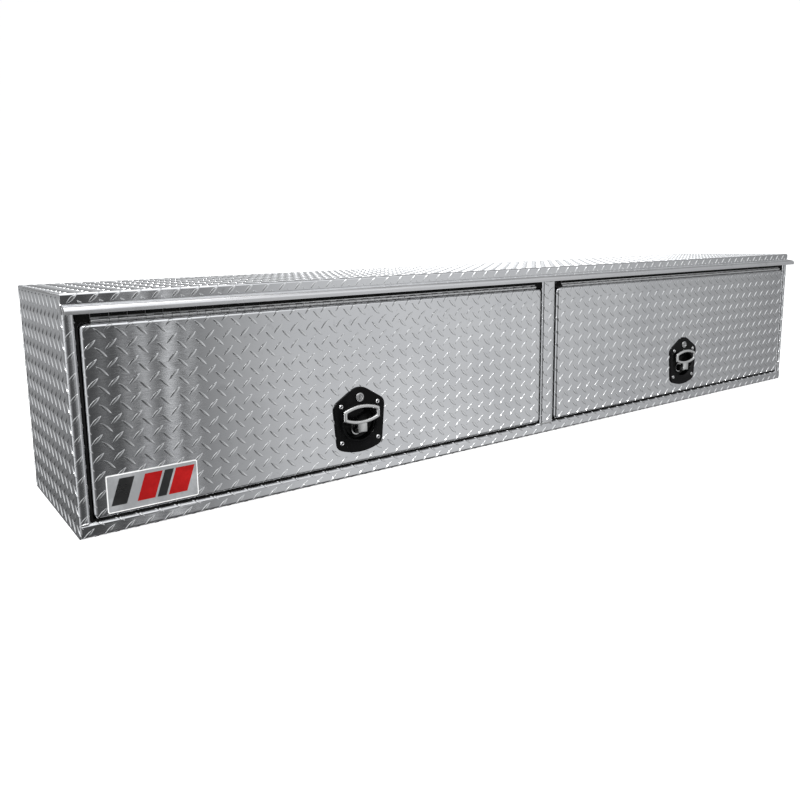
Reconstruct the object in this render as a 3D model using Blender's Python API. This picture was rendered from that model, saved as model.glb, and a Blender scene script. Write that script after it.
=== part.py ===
"""Top-side truck tool box: a long aluminium tread-plate box with two doors hinged along the top edge,
each with a flush folding-ring latch, two sliding lock rods, a key cylinder and a gas strut.

Frame: +X to the right as seen from the front, -Y out of the front, +Z up. The origin is the middle of the
underside. Metres throughout. Depths (d) are measured backwards from the front face of the frame.
"""

import math

import bmesh
import bpy
from mathutils import Matrix, Vector

# Driving dimensions of the box
LENGTH = 2.235
DEPTH = 0.356
HEIGHT = 0.4064
SHEET = 0.002
BEND = 0.006
GAP = 0.0003
HALF = LENGTH / 2
FRONT = -DEPTH / 2

# Front frame: stiles, post, bottom rail, header and drip rail
STILE = 0.020
POST = 0.044
RAIL = 0.0245
OPENING_TOP = 0.3715
LIP_DEPTH = 0.027
LIP = 0.016
LIP_FILLET = 0.0045
LIP_NOTCH = (LIP_DEPTH - LIP_FILLET, LIP_DEPTH + SHEET + 0.001)
HEADER_LIP = 0.031
HEADER_FACE = 0.0058
COVER_FLANGE = 0.0174
BACK_FLANGE = 0.025
COVER_BEND = 0.004
DRIP_REACH = 0.022
DRIP_SHEET = 0.0016
DRIP_DROP = 0.0128
DRIP_SLOPE = 0.0021
DRIP_LEG_LOW = 0.3722

# Doors
DOOR_GAP = 0.0055
DOOR_LOW = 0.0295
DOOR_TOP = 0.3565
DOOR_PROUD = 0.001
DOOR_THICK = 0.020
DOOR_CORNER = 0.010
INNER_SHEET = 0.0015
INNER_FLANGE = 0.011

# Piano hinge
HINGE_D = 0.0025
HINGE_Z = 0.360
KNUCKLE_R = 0.003
KNUCKLE_BORE = 0.00148
PIN_R = 0.0012
KNUCKLES = 10
KNUCKLE_GAP = 0.0006
HINGE_INSET = 0.0185
LEAF = 0.0012
LEAF_START = 0.0035

# Latch, from the middle of its plate
LATCH_Z = 0.120
PLATE_THICK = 0.0027
DISH_DROP = -0.006
DISH_R = 0.0355
DISH_FLOOR = 0.0115
DISH_WALL = 0.0015
RIVET_X = 0.0445
RIVET_Z = 0.0375
SPINDLE_DROP = -0.0215
SPINDLE_R = 0.0088
SHAFT_R = 0.006
FOLD_D = -0.006
RING_D = -0.011
RING_THICK = 0.007
RING_WIDE = 0.0435
RING_TALL = 0.020
RING_END = 0.0105
RING_BAR = 0.0075
RING_RISE = 0.0335
STEM_WIDE = 0.022
TONGUE_WIDE = 0.010
RING_PIN_R = 0.0013
LOCK_RISE = 0.046
LOCK_PROUD = 0.003
LOCK_HEAD_R = 0.0095
LOCK_BARREL_R = 0.008
PLUG_R = 0.0052

# Lock rods and the cam plate that throws them
CRANK = 0.015
CAM_D = 0.027
CAM_THICK = 0.002
ROD_D = 0.030
ROD_THICK = 0.0025
ROD_TALL = 0.016
ROD_MID = 0.0128
SLOT_WIDE = 0.0053
SLOT_TALL = 0.0094
CAM_PIN_R = 0.002
ROD_WITHDRAWN = 0.0035
GUIDE_LONG = 0.018

# Gas strut, in a plane near each outer end
STRUT_X = 1.062
STRUT_FRAME = (0.300, 0.270)
STRUT_DOOR = (0.043, 0.325)
STRUT_R = 0.009
STRUT_ROD_R = 0.004
STRUT_NECK_R = 0.0055
STRUT_WALL = 0.0015
GLAND_LONG = 0.012
NOSE_SHORT = 0.026
SOCKET_R = 0.007
SOCKET_GAP = 0.0004
STUD_PLATE = 0.003
EAR_OUT = 0.014
EAR_WIDE = 0.024
EAR_SHEET = 0.002

NAMES = {-1: "left", 1: "right"}


# ---------------------------------------------------------------- materials and placing

FINISHES = {
    "tread_plate": ((0.62, 0.63, 0.65), 0.95, 0.28),
    "smooth_aluminium": ((0.70, 0.71, 0.72), 0.95, 0.32),
    "mill_aluminium": ((0.58, 0.59, 0.60), 0.95, 0.42),
    "black_steel": ((0.012, 0.012, 0.013), 0.30, 0.28),
    "chrome_ring": ((0.66, 0.66, 0.66), 1.0, 0.24),
    "zinc_steel": ((0.55, 0.56, 0.57), 1.0, 0.38),
    "lock_steel": ((0.50, 0.50, 0.50), 1.0, 0.30),
    "rubber": ((0.015, 0.015, 0.015), 0.0, 0.75),
    "strut_paint": ((0.02, 0.02, 0.02), 0.1, 0.35),
    "badge": ((0.42, 0.43, 0.44), 0.2, 0.45),
}


def make_material(name):
    colour, metallic, roughness = FINISHES[name]
    finish = bpy.data.materials.new(name)
    finish.use_nodes = True
    shader = finish.node_tree.nodes["Principled BSDF"]
    shader.inputs["Base Color"].default_value = (*colour, 1.0)
    shader.inputs["Metallic"].default_value = metallic
    shader.inputs["Roughness"].default_value = roughness
    finish.diffuse_color = (*colour, 1.0)
    return finish


def world_of(obj):
    """World place of an unrotated object, from its own and its parents' locations."""
    place = Vector((0.0, 0.0, 0.0))
    while obj is not None:
        place += obj.location
        obj = obj.parent
    return place


def pivot(name, point, parent=None):
    """An empty on a joint's axis, which the pieces of a moving body hang from."""
    empty = bpy.data.objects.new(name, None)
    bpy.context.scene.collection.objects.link(empty)
    empty.empty_display_size = 0.03
    empty.parent = parent
    empty.location = Vector(point) - world_of(parent)
    return empty


def add(name, bm, finish, parent=None, smooth=False):
    """Turns a bmesh drawn in world metres into an object that hangs from its body's pivot."""
    bmesh.ops.recalc_face_normals(bm, faces=bm.faces)
    mesh = bpy.data.meshes.new(name)
    bm.to_mesh(mesh)
    bm.free()
    mesh.transform(Matrix.Translation(-world_of(parent)))
    if smooth:
        mesh.shade_smooth()
        mesh.set_sharp_from_angle(angle=math.radians(35))
    mesh.materials.append(MATERIALS[finish])
    obj = bpy.data.objects.new(name, mesh)
    bpy.context.scene.collection.objects.link(obj)
    obj.parent = parent
    return obj


def combine(obj, bm, operation):
    """Cuts the shape in bm out of obj, or joins it on, with a Boolean modifier."""
    tool = add(f"{obj.name}_tool{len(obj.modifiers)}", bm, "zinc_steel", obj.parent)
    tool.hide_render = True
    tool.display_type = "WIRE"
    boolean = obj.modifiers.new(tool.name, "BOOLEAN")
    boolean.operation = operation
    boolean.solver = "EXACT"
    boolean.object = tool
    return obj


# ---------------------------------------------------------------- shapes


def spot(axis, u, v, w):
    """World point from two coordinates square to an axis and one along it. Depths become Y."""
    if axis == "X":
        return Vector((w, FRONT + u, v))
    if axis == "Y":
        return Vector((u, FRONT + w, v))
    return Vector((u, FRONT + v, w))


def lofted(loops, ring=False, bm=None):
    """Solid through loops of equally many points, capped at its ends or closed into a ring."""
    bm = bm or bmesh.new()
    rows = [[bm.verts.new(point) for point in loop] for loop in loops]
    pairs = list(zip(rows, rows[1:]))
    if ring:
        pairs.append((rows[-1], rows[0]))
    else:
        bm.faces.new(rows[0])
        bm.faces.new(rows[-1])
    for one, other in pairs:
        count = len(one)
        for i in range(count):
            j = (i + 1) % count
            bm.faces.new((one[i], one[j], other[j], other[i]))
    return bm


def prism(outline, axis, low, high, bm=None):
    return lofted([[spot(axis, u, v, w) for u, v in outline] for w in (low, high)], bm=bm)


def block(x, d, z, bm=None):
    """Box from (low, high) pairs of x, depth and z."""
    outline = ((x[0], z[0]), (x[1], z[0]), (x[1], z[1]), (x[0], z[1]))
    return prism(outline, "Y", d[0], d[1], bm=bm)


def turned(profile, centre, axis="Y", steps=24, ring=False, bm=None):
    """Turned solid from (radius, place along the axis) pairs. Centre is (x, z) on Y and (d, z) on X."""
    loops = []
    for radius, along in profile:
        loop = []
        for k in range(steps):
            angle = 2 * math.pi * (k + 0.5) / steps
            u = centre[0] + radius * math.cos(angle)
            v = centre[1] + radius * math.sin(angle)
            loop.append(spot(axis, u, v, along))
        loops.append(loop)
    return lofted(loops, ring=ring, bm=bm)


def bar_between(start, end, radii, steps=14, ring=False, bm=None):
    """Round bar along a slanted line in the plane square to X: radii are (radius, distance) pairs."""
    along = (end - start).normalized()
    across = Vector((1.0, 0.0, 0.0))
    up = along.cross(across)
    loops = []
    for radius, distance in radii:
        middle = start + along * distance
        loop = []
        for k in range(steps):
            angle = 2 * math.pi * k / steps
            loop.append(middle + (across * math.cos(angle) + up * math.sin(angle)) * radius)
        loops.append(loop)
    return lofted(loops, ring=ring, bm=bm)


def fold(corners, sheet=SHEET, bend=BEND, steps=3):
    """Outline of a folded sheet's section. Corners follow its visible face, with the sheet to the left."""
    points = [Vector(corner) for corner in corners]
    face = []
    back = []
    for i, point in enumerate(points):
        before = (point - points[i - 1]).normalized() if i else (points[1] - point).normalized()
        after = (points[i + 1] - point).normalized() if i + 1 < len(points) else before
        left = Vector((-before.y, before.x))
        turn = math.atan2(before.x * after.y - before.y * after.x, before.dot(after))
        if abs(turn) < 1e-6:
            face.append(point)
            back.append(point + left * sheet)
            continue
        side = math.copysign(1.0, turn)
        radius = bend if side > 0 else bend - sheet
        centre = point - before * radius * math.tan(abs(turn) / 2) + left * side * radius
        for k in range(steps + 1):
            angle = turn * k / steps
            spoke = Vector((-left.x * side, -left.y * side))
            spoke.rotate(Matrix.Rotation(angle, 2))
            face.append(centre + spoke * radius)
            back.append(centre + spoke * (radius - side * sheet))
    return [tuple(point) for point in face + back[::-1]]


def filleted(corners, steps=4):
    """Closed outline from (u, v, radius) corners, each rounded to its radius."""
    outline = []
    count = len(corners)
    for i, (u, v, radius) in enumerate(corners):
        point = Vector((u, v))
        before = (point - Vector(corners[i - 1][:2])).normalized()
        after = (Vector(corners[(i + 1) % count][:2]) - point).normalized()
        if radius == 0:
            outline.append((u, v))
            continue
        left = Vector((-before.y, before.x))
        turn = math.atan2(before.x * after.y - before.y * after.x, before.dot(after))
        side = math.copysign(1.0, turn)
        centre = point - before * radius * math.tan(abs(turn) / 2) + left * side * radius
        for k in range(steps + 1):
            spoke = Vector((-left.x * side, -left.y * side))
            spoke.rotate(Matrix.Rotation(turn * k / steps, 2))
            outline.append(tuple(centre + spoke * radius))
    return outline


def rounded(x, z, radius, steps=3):
    """Rounded rectangle from (low, high) pairs, anticlockwise as seen from the front."""
    return filleted(
        [(x[0], z[0], radius), (x[1], z[0], radius), (x[1], z[1], radius), (x[0], z[1], radius)], steps
    )


def pan(x, z, corner, section):
    """Dished sheet with rounded corners: section is (inset, depth) pairs from cap to cap."""
    loops = []
    for inset, depth in section:
        outline = rounded((x[0] + inset, x[1] - inset), (z[0] + inset, z[1] - inset), corner - inset)
        loops.append([spot("Y", u, v, depth) for u, v in outline])
    return lofted(loops)


def quarter(radius, centre, start, steps=3):
    """Points of a quarter circle, as (inset, depth) pairs, from angle start through 90 degrees."""
    angles = [math.radians(start + 90 * k / steps) for k in range(steps + 1)]
    return [(centre[0] + radius * math.cos(a), centre[1] + radius * math.sin(a)) for a in angles]


# ---------------------------------------------------------------- shell


def end_panel(side):
    """Side sheet folded round into the stile and its seal lip in front, and round the back corner."""
    edge = HALF - STILE
    path = [
        (-HALF + BACK_FLANGE, DEPTH),
        (-HALF, DEPTH),
        (-HALF, 0.0),
        (-edge, 0.0),
        (-edge, LIP_DEPTH),
        (-edge + LIP, LIP_DEPTH),
    ]
    outline = [(-side * u, v) for u, v in fold(path)]
    top = HEIGHT - SHEET - GAP
    panel = add(f"side_panel_{NAMES[side]}", prism(outline, "Z", 0.0, top), "tread_plate")
    inside = HALF - SHEET - 0.0002
    beyond = HALF + 0.01
    middle = HALF - 0.08
    deep = LIP_DEPTH + SHEET + 0.0015
    flange_low = HEIGHT - COVER_FLANGE - GAP
    lip_top = OPENING_TOP - HEADER_LIP - GAP
    notches = (
        ((middle, inside), (-0.01, deep), (-0.01, RAIL + GAP)),
        ((middle, inside), (-0.01, deep), (flange_low, HEIGHT)),
        ((middle, edge + 0.0002), (LIP_DEPTH - LIP_FILLET, deep + 0.001), (lip_top, HEIGHT + 0.001)),
        ((middle, beyond), (-0.01, SHEET + GAP), (flange_low, HEIGHT + 0.002)),
        ((middle, beyond), (DEPTH - SHEET - GAP, DEPTH + 0.01), (HEIGHT - BACK_FLANGE - GAP, HEIGHT)),
        ((middle, beyond), (-0.01, COVER_BEND + GAP), (HEIGHT - COVER_BEND - GAP, HEIGHT + 0.003)),
        (
            (middle, beyond),
            (DEPTH - COVER_BEND - GAP, DEPTH + 0.02),
            (HEIGHT - COVER_BEND - GAP, HEIGHT + 0.003),
        ),
    )
    for x, d, z in notches:
        combine(panel, block(sorted((side * x[0], side * x[1])), d, z), "DIFFERENCE")
    return panel


def bottom_pan():
    """Floor folded up into the bottom rail and its seal lip at the front, and up the back."""
    inner_back = DEPTH - 2 * SHEET - 2 * GAP
    path = [
        (LIP_DEPTH, RAIL + LIP),
        (LIP_DEPTH, RAIL),
        (0.0, RAIL),
        (0.0, 0.0),
        (inner_back, 0.0),
        (inner_back, BACK_FLANGE),
    ]
    wide = HALF - SHEET - 4 * GAP
    obj = add("bottom_pan", prism(fold(path), "X", -wide, wide), "tread_plate")
    lip_end = HALF - STILE - LIP - GAP
    post_end = POST / 2 + LIP + GAP
    cuts = bmesh.new()
    for x in ((-HALF, -lip_end), (-post_end, post_end), (lip_end, HALF)):
        block(x, LIP_NOTCH, (RAIL + 0.0001, RAIL + LIP + 0.01), cuts)
    return combine(obj, cuts, "DIFFERENCE")


def top_cover():
    path = [
        (DEPTH, HEIGHT - BACK_FLANGE),
        (DEPTH, HEIGHT),
        (0.0, HEIGHT),
        (0.0, HEIGHT - COVER_FLANGE),
    ]
    return add("top_cover", prism(fold(path, bend=COVER_BEND), "X", -HALF, HALF), "tread_plate")


def back_panel():
    wide = HALF - BEND - GAP
    depth = DEPTH - SHEET - GAP
    sheet = block((-wide, wide), (depth - SHEET, depth), (0.0, HEIGHT - COVER_BEND - GAP))
    return add("back_panel", sheet, "tread_plate")


def centre_post():
    """Hat section between the doors, with a seal lip on each side."""
    half = POST / 2
    path = [
        (-half - LIP, LIP_DEPTH),
        (-half, LIP_DEPTH),
        (-half, 0.0),
        (half, 0.0),
        (half, LIP_DEPTH),
        (half + LIP, LIP_DEPTH),
    ]
    obj = add("centre_post", prism(fold(path), "Z", RAIL + GAP, OPENING_TOP - GAP), "tread_plate")
    cuts = bmesh.new()
    for x in ((-0.1, -half + 0.0005), (half - 0.0005, 0.1)):
        lip_top = OPENING_TOP - HEADER_LIP - GAP
        block(x, (LIP_DEPTH - 0.0005, LIP_DEPTH + SHEET + 0.001), (lip_top, OPENING_TOP), cuts)
    return combine(obj, cuts, "DIFFERENCE")


def header():
    """Folded rail under the cover's front edge that carries the hinges, drip rail and top seal."""
    path = [
        (0.045, HEIGHT - SHEET - 0.0004),
        (HEADER_FACE, HEIGHT - SHEET - 0.0004),
        (HEADER_FACE, OPENING_TOP),
        (LIP_DEPTH, OPENING_TOP),
        (LIP_DEPTH, OPENING_TOP - HEADER_LIP),
    ]
    wide = HALF - STILE - GAP
    obj = add("header", prism(fold(path, bend=0.004), "X", -wide, wide), "mill_aluminium")
    half = POST / 2 + 0.003
    room = block((-half, half), LIP_NOTCH, (0.3, OPENING_TOP + 0.0002))
    return combine(obj, room, "DIFFERENCE")


def drip_rail():
    """Gutter strip that leans forward over the doors, with a turned-down lip."""
    top = HEIGHT - COVER_FLANGE - 0.0004
    leg = 0.003
    path = [
        (leg, DRIP_LEG_LOW),
        (leg, top),
        (-DRIP_REACH, top - DRIP_SLOPE),
        (-DRIP_REACH, top - DRIP_SLOPE - DRIP_DROP),
    ]
    strip = prism(fold(path, sheet=DRIP_SHEET, bend=0.0035), "X", -HALF, HALF)
    obj = add("drip_rail", strip, "smooth_aluminium")
    cuts = bmesh.new()
    leg_end = HALF - STILE + 0.0005
    for x in ((-HALF - 0.01, -leg_end), (leg_end, HALF + 0.01)):
        block(x, (-GAP, 0.01), (DRIP_LEG_LOW - 0.01, HEIGHT), cuts)
    return combine(obj, cuts, "DIFFERENCE")


def door_seal(side):
    """Rubber bulb round the opening, on the frame's lips."""
    low_x, high_x = opening(side)
    inset = DOOR_GAP + 0.002
    wide = 0.0075
    back = LIP_DEPTH - GAP
    front = DOOR_THICK - DOOR_PROUD + 0.0005
    crown = 0.002
    section = [(0.0, back), (0.0, front + crown), (crown, front)]
    section += [(wide - crown, front), (wide, front + crown), (wide, back)]
    loops = []
    for step_in, depth in section:
        far_in = inset + step_in
        x = (low_x + far_in, high_x - far_in)
        z = (RAIL + far_in, DOOR_TOP - 0.003 - step_in)
        outline = rounded(x, z, 0.012 - step_in)
        loops.append([spot("Y", u, v, depth) for u, v in outline])
    return add(f"door_seal_{NAMES[side]}", lofted(loops, ring=True), "rubber")


# ---------------------------------------------------------------- doors


def opening(side):
    """Low and high x of a door opening: side is -1 on the left and 1 on the right."""
    return sorted((side * POST / 2, side * (HALF - STILE)))


def door_span(side):
    low, high = opening(side)
    return (low + DOOR_GAP, high - DOOR_GAP)


def latch_x(side):
    return sum(door_span(side)) / 2


def latch_holes(side, plate=False):
    """Holes that the latch, its rivets and its lock need through a sheet."""
    middle = latch_x(side)
    cuts = bmesh.new()
    for x in (-RIVET_X, RIVET_X):
        for z in (-RIVET_Z, RIVET_Z):
            centre = (middle + x, LATCH_Z + DISH_DROP + z)
            turned([(0.0025, -0.01), (0.0025, 0.01)], centre, steps=8, bm=cuts)
    barrel = LOCK_BARREL_R + 0.0004
    turned([(barrel, -0.01), (barrel, 0.008)], (middle, LATCH_Z + LOCK_RISE), steps=16, bm=cuts)
    if not plate:
        dish = DISH_R + DISH_WALL + 0.0006
        turned([(dish, -0.01), (dish, 0.008)], (middle, LATCH_Z + DISH_DROP), steps=24, bm=cuts)
    return cuts


def door_skin(side, body):
    front = -DOOR_PROUD
    rim = DOOR_THICK - DOOR_PROUD
    middle = front + BEND
    outer = [(0.0, rim)] + quarter(BEND, (BEND, middle), 180)
    inner = quarter(BEND - SHEET, (BEND, middle), 180)[::-1] + [(SHEET, rim)]
    skin = pan(door_span(side), (DOOR_LOW, DOOR_TOP), DOOR_CORNER, outer[::-1] + inner[::-1])
    obj = add(f"door_skin_{NAMES[side]}", skin, "tread_plate", body)
    return combine(obj, latch_holes(side), "DIFFERENCE")


def door_inner(side, body):
    """Smooth inner panel, folded forward all round and nested inside the skin's turned edges."""
    step = SHEET + GAP
    low, high = door_span(side)
    rim = DOOR_THICK - DOOR_PROUD - GAP
    bend = 0.003
    middle = rim - bend
    outer = [(0.0, rim - INNER_FLANGE)] + [(u, 2 * middle - v) for u, v in quarter(bend, (bend, middle), 180)]
    small = [(u, 2 * middle - v) for u, v in quarter(bend - INNER_SHEET, (bend, middle), 180)]
    inner = [(INNER_SHEET, rim - INNER_FLANGE)] + small
    panel = pan(
        (low + step, high - step),
        (DOOR_LOW + step, DOOR_TOP - step),
        DOOR_CORNER - step,
        outer[::-1] + inner,
    )
    obj = add(f"door_inner_{NAMES[side]}", panel, "mill_aluminium", body)
    centre = (latch_x(side), LATCH_Z + SPINDLE_DROP)
    return combine(obj, turned([(0.008, 0.01), (0.008, 0.03)], centre, steps=20), "DIFFERENCE")


def hinge_span(side):
    low, high = door_span(side)
    return (low + HINGE_INSET, high - HINGE_INSET)


def hinge_leaf(side, on_door, body=None):
    """Leaf with every second knuckle of the piano hinge. The frame's stands up, the door's lies flat."""
    low, high = hinge_span(side)
    pitch = (high - low) / KNUCKLES
    knuckles = bmesh.new()
    tabs = []
    for k in range(1 if on_door else 0, KNUCKLES, 2):
        start = low + k * pitch + KNUCKLE_GAP / 2
        end = low + (k + 1) * pitch - KNUCKLE_GAP / 2
        tube = [(KNUCKLE_BORE, start), (KNUCKLE_R, start), (KNUCKLE_R, end), (KNUCKLE_BORE, end)]
        turned(tube, (HINGE_D, HINGE_Z), "X", steps=10, ring=True, bm=knuckles)
        tabs.append((start, end))
    edge = [(low, LEAF_START)]
    for start, end in tabs:
        inner_start = max(start, low + KNUCKLE_GAP)
        edge += [(inner_start, LEAF_START), (inner_start, 0.0), (end, 0.0), (end, LEAF_START)]
    edge.append((high, LEAF_START))
    edge = [point for i, point in enumerate(edge) if point != edge[i - 1]]
    reach = 0.0155 if on_door else 0.0258
    outline = edge + [(high, reach), (low, reach)]
    bm = bmesh.new()
    if on_door:
        base = HINGE_Z - 0.0027
        loops = [[Vector((u, FRONT + HINGE_D + v, z)) for u, v in outline] for z in (base, base + LEAF)]
    else:
        base = FRONT + HINGE_D + 0.0015
        loops = [[Vector((u, y, HINGE_Z + v)) for u, v in outline] for y in (base, base + LEAF)]
    lofted(loops, bm=bm)
    place = "door" if on_door else "frame"
    obj = add(f"hinge_{place}_leaf_{NAMES[side]}", bm, "zinc_steel", body)
    return combine(obj, knuckles, "UNION")


def hinge_pin(side):
    low, high = hinge_span(side)
    pin = turned([(PIN_R, low), (PIN_R, high)], (HINGE_D, HINGE_Z), "X", steps=10)
    return add(f"hinge_pin_{NAMES[side]}", pin, "zinc_steel", smooth=True)


# ---------------------------------------------------------------- latch


def polar(outline, centre, steps):
    """Points of a closed outline in evenly spread directions from a centre inside it."""
    found = []
    count = len(outline)
    for k in range(steps):
        angle = 2 * math.pi * (k + 0.5) / steps
        ray = Vector((math.cos(angle), math.sin(angle)))
        best = 0.0
        for i in range(count):
            a = Vector(outline[i]) - Vector(centre)
            b = Vector(outline[(i + 1) % count]) - Vector(centre)
            edge = b - a
            cross = ray.x * edge.y - ray.y * edge.x
            if abs(cross) < 1e-12:
                continue
            reach = (a.x * edge.y - a.y * edge.x) / cross
            part = (a.x * ray.y - a.y * ray.x) / cross
            if reach > 0 and -1e-9 <= part <= 1 + 1e-9:
                best = max(best, reach)
        found.append((centre[0] + ray.x * best, centre[1] + ray.y * best))
    return found


def plate_outline(inset):
    """Latch plate: peaked top on sloping shoulders, sides that draw in downwards, and a bowed bottom."""
    half = 0.0630 - inset
    foot = 0.0548 - inset
    return [
        (0.0, 0.0735 - inset * 1.17, 0.038),
        (-half, 0.0350 - inset * 0.50, 0.018),
        (-foot, -0.0565 + inset * 0.80, 0.017),
        (0.0, -0.0745 + inset * 1.06, 0.125),
        (foot, -0.0565 + inset * 0.80, 0.017),
        (half, 0.0350 - inset * 0.50, 0.018),
    ]


def latch_plate(side, body):
    """Pressed plate with a round finger dish, which the spindle comes through."""
    steps = 36
    middle = latch_x(side)
    centre = (0.0, DISH_DROP)
    back = -DOOR_PROUD - GAP
    front = back - PLATE_THICK
    floor_back = DISH_FLOOR + DISH_WALL

    def edge(inset, depth):
        outline = polar(filleted(plate_outline(inset), 6), centre, steps)
        return [spot("Y", middle + u, LATCH_Z + v, depth) for u, v in outline]

    def circle(radius, depth, shift=0.0):
        loop = []
        for k in range(steps):
            angle = 2 * math.pi * (k + 0.5) / steps
            u = radius * math.cos(angle)
            v = centre[1] + shift + radius * math.sin(angle)
            loop.append(spot("Y", middle + u, LATCH_Z + v, depth))
        return loop

    hole = SPINDLE_R + 0.0005
    drop = SPINDLE_DROP - DISH_DROP
    loops = [
        edge(0.0, back),
        edge(0.0, front + 0.0012),
        edge(0.0012, front),
        circle(DISH_R + 0.0012, front),
        circle(DISH_R, front + 0.0012),
        circle(DISH_R - 0.0015, DISH_FLOOR - 0.003),
        circle(DISH_R - 0.0045, DISH_FLOOR),
        circle(hole, DISH_FLOOR, drop),
        circle(hole, floor_back, drop),
        circle(DISH_R - 0.0035, floor_back),
        circle(DISH_R, floor_back - 0.003),
        circle(DISH_R + DISH_WALL, back),
    ]
    obj = add(f"latch_plate_{NAMES[side]}", lofted(loops, ring=True), "black_steel", body)
    return combine(obj, latch_holes(side, plate=True), "DIFFERENCE")


def latch_rivets(side, body):
    """Four pop rivets, numbered from the lower left."""
    face = -DOOR_PROUD - GAP - PLATE_THICK - GAP
    number = 0
    for z in (-RIVET_Z, RIVET_Z):
        for x in (-RIVET_X, RIVET_X):
            number += 1
            centre = (latch_x(side) + x, LATCH_Z + DISH_DROP + z)
            profile = [(0.0013, face - 0.0012), (0.0016, face - 0.0018), (0.0032, face - 0.0013)]
            profile += [(0.0045, face), (0.0021, face), (0.0021, 0.0036)]
            rivet = turned(profile, centre, steps=8)
            add(f"latch_rivet_{number}_{NAMES[side]}", rivet, "zinc_steel", body, smooth=True)


def lock_cylinder(side, body):
    """Key cylinder's housing, flanged on the plate."""
    centre = (latch_x(side), LATCH_Z + LOCK_RISE)
    plate = -DOOR_PROUD - GAP - PLATE_THICK
    face = plate - LOCK_PROUD
    bore = PLUG_R + 0.0003
    profile = [
        (bore, face + 0.0004),
        (LOCK_HEAD_R - 0.001, face),
        (LOCK_HEAD_R, face + 0.001),
        (LOCK_HEAD_R, plate - GAP),
        (LOCK_BARREL_R, plate - GAP),
        (LOCK_BARREL_R, 0.0125),
        (bore, 0.0125),
    ]
    obj = turned(profile, centre, steps=16, ring=True)
    return add(f"lock_cylinder_{NAMES[side]}", obj, "lock_steel", body, smooth=True)


def lock_plug(side, body):
    """Plug that the key turns, with its keyway in front and its blocking tail behind."""
    x = latch_x(side)
    z = LATCH_Z + LOCK_RISE
    face = -DOOR_PROUD - GAP - PLATE_THICK - LOCK_PROUD
    profile = [(PLUG_R - 0.0003, face + 0.0005), (PLUG_R, face + 0.0009), (PLUG_R, 0.0140)]
    plug = turned(profile, (x, z), steps=20)
    obj = add(f"lock_plug_{NAMES[side]}", plug, "lock_steel", body)
    half = 0.0065
    corners = [
        (x - half, z - 0.018, 0.003),
        (x + half, z - 0.018, 0.003),
        (x + half, z + 0.006, 0.004),
        (x - half, z + 0.006, 0.004),
    ]
    tail = filleted(corners, 3)
    combine(obj, prism(tail, "Y", 0.0136, 0.0156), "UNION")
    keyway = block((x - 0.0006, x + 0.0006), (face - 0.002, face + 0.004), (z - 0.0036, z + 0.0036))
    return combine(obj, keyway, "DIFFERENCE")


def spindle(side, body):
    """Shaft through the dish and the inner panel, with a flat tongue in front for the ring's pin."""
    x = latch_x(side)
    z = LATCH_Z + SPINDLE_DROP
    profile = [
        (SPINDLE_R - 0.001, 0.0010),
        (SPINDLE_R, 0.0020),
        (SPINDLE_R, 0.0165),
        (SHAFT_R, 0.0165),
        (SHAFT_R, CAM_D + CAM_THICK + 0.0008),
    ]
    obj = add(f"spindle_{NAMES[side]}", turned(profile, (x, z), steps=20), "black_steel", body)
    half = TONGUE_WIDE / 2
    nose = []
    for k in range(9):
        angle = math.radians(90 + 180 * k / 8)
        nose.append((FOLD_D + 0.005 * math.cos(angle), z + 0.005 * math.sin(angle)))
    outline = nose + [(0.0035, z - 0.005), (0.0035, z + 0.005)]
    combine(obj, prism(outline, "X", x - half, x + half), "UNION")
    hole = turned([(0.00165, x - 0.02), (0.00165, x + 0.02)], (FOLD_D, z), "X", steps=12)
    return combine(obj, hole, "DIFFERENCE")


def ring_outline(inset, x, z):
    """Bowed ring: arcs above and below, short upright ends."""
    radius = (RING_WIDE**2 + (RING_TALL - RING_END) ** 2) / (2 * (RING_TALL - RING_END))
    centre = RING_TALL - radius
    half = RING_WIDE - inset
    reach = math.asin((half - 0.0042) / (radius - inset))
    corner_v = centre + math.sqrt((radius - inset) ** 2 - half**2)
    upper = []
    for k in range(9):
        angle = reach - 2 * reach * k / 8
        upper.append(((radius - inset) * math.sin(angle), centre + (radius - inset) * math.cos(angle), 0))
    arc = [(half, corner_v, 0.0030)] + upper + [(-half, corner_v, 0.0030)]
    mirrored = [(u, -v, r) for u, v, r in arc[::-1]]
    return [(x + u, z + v) for u, v in filleted(arc + mirrored, 3)]


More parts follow.
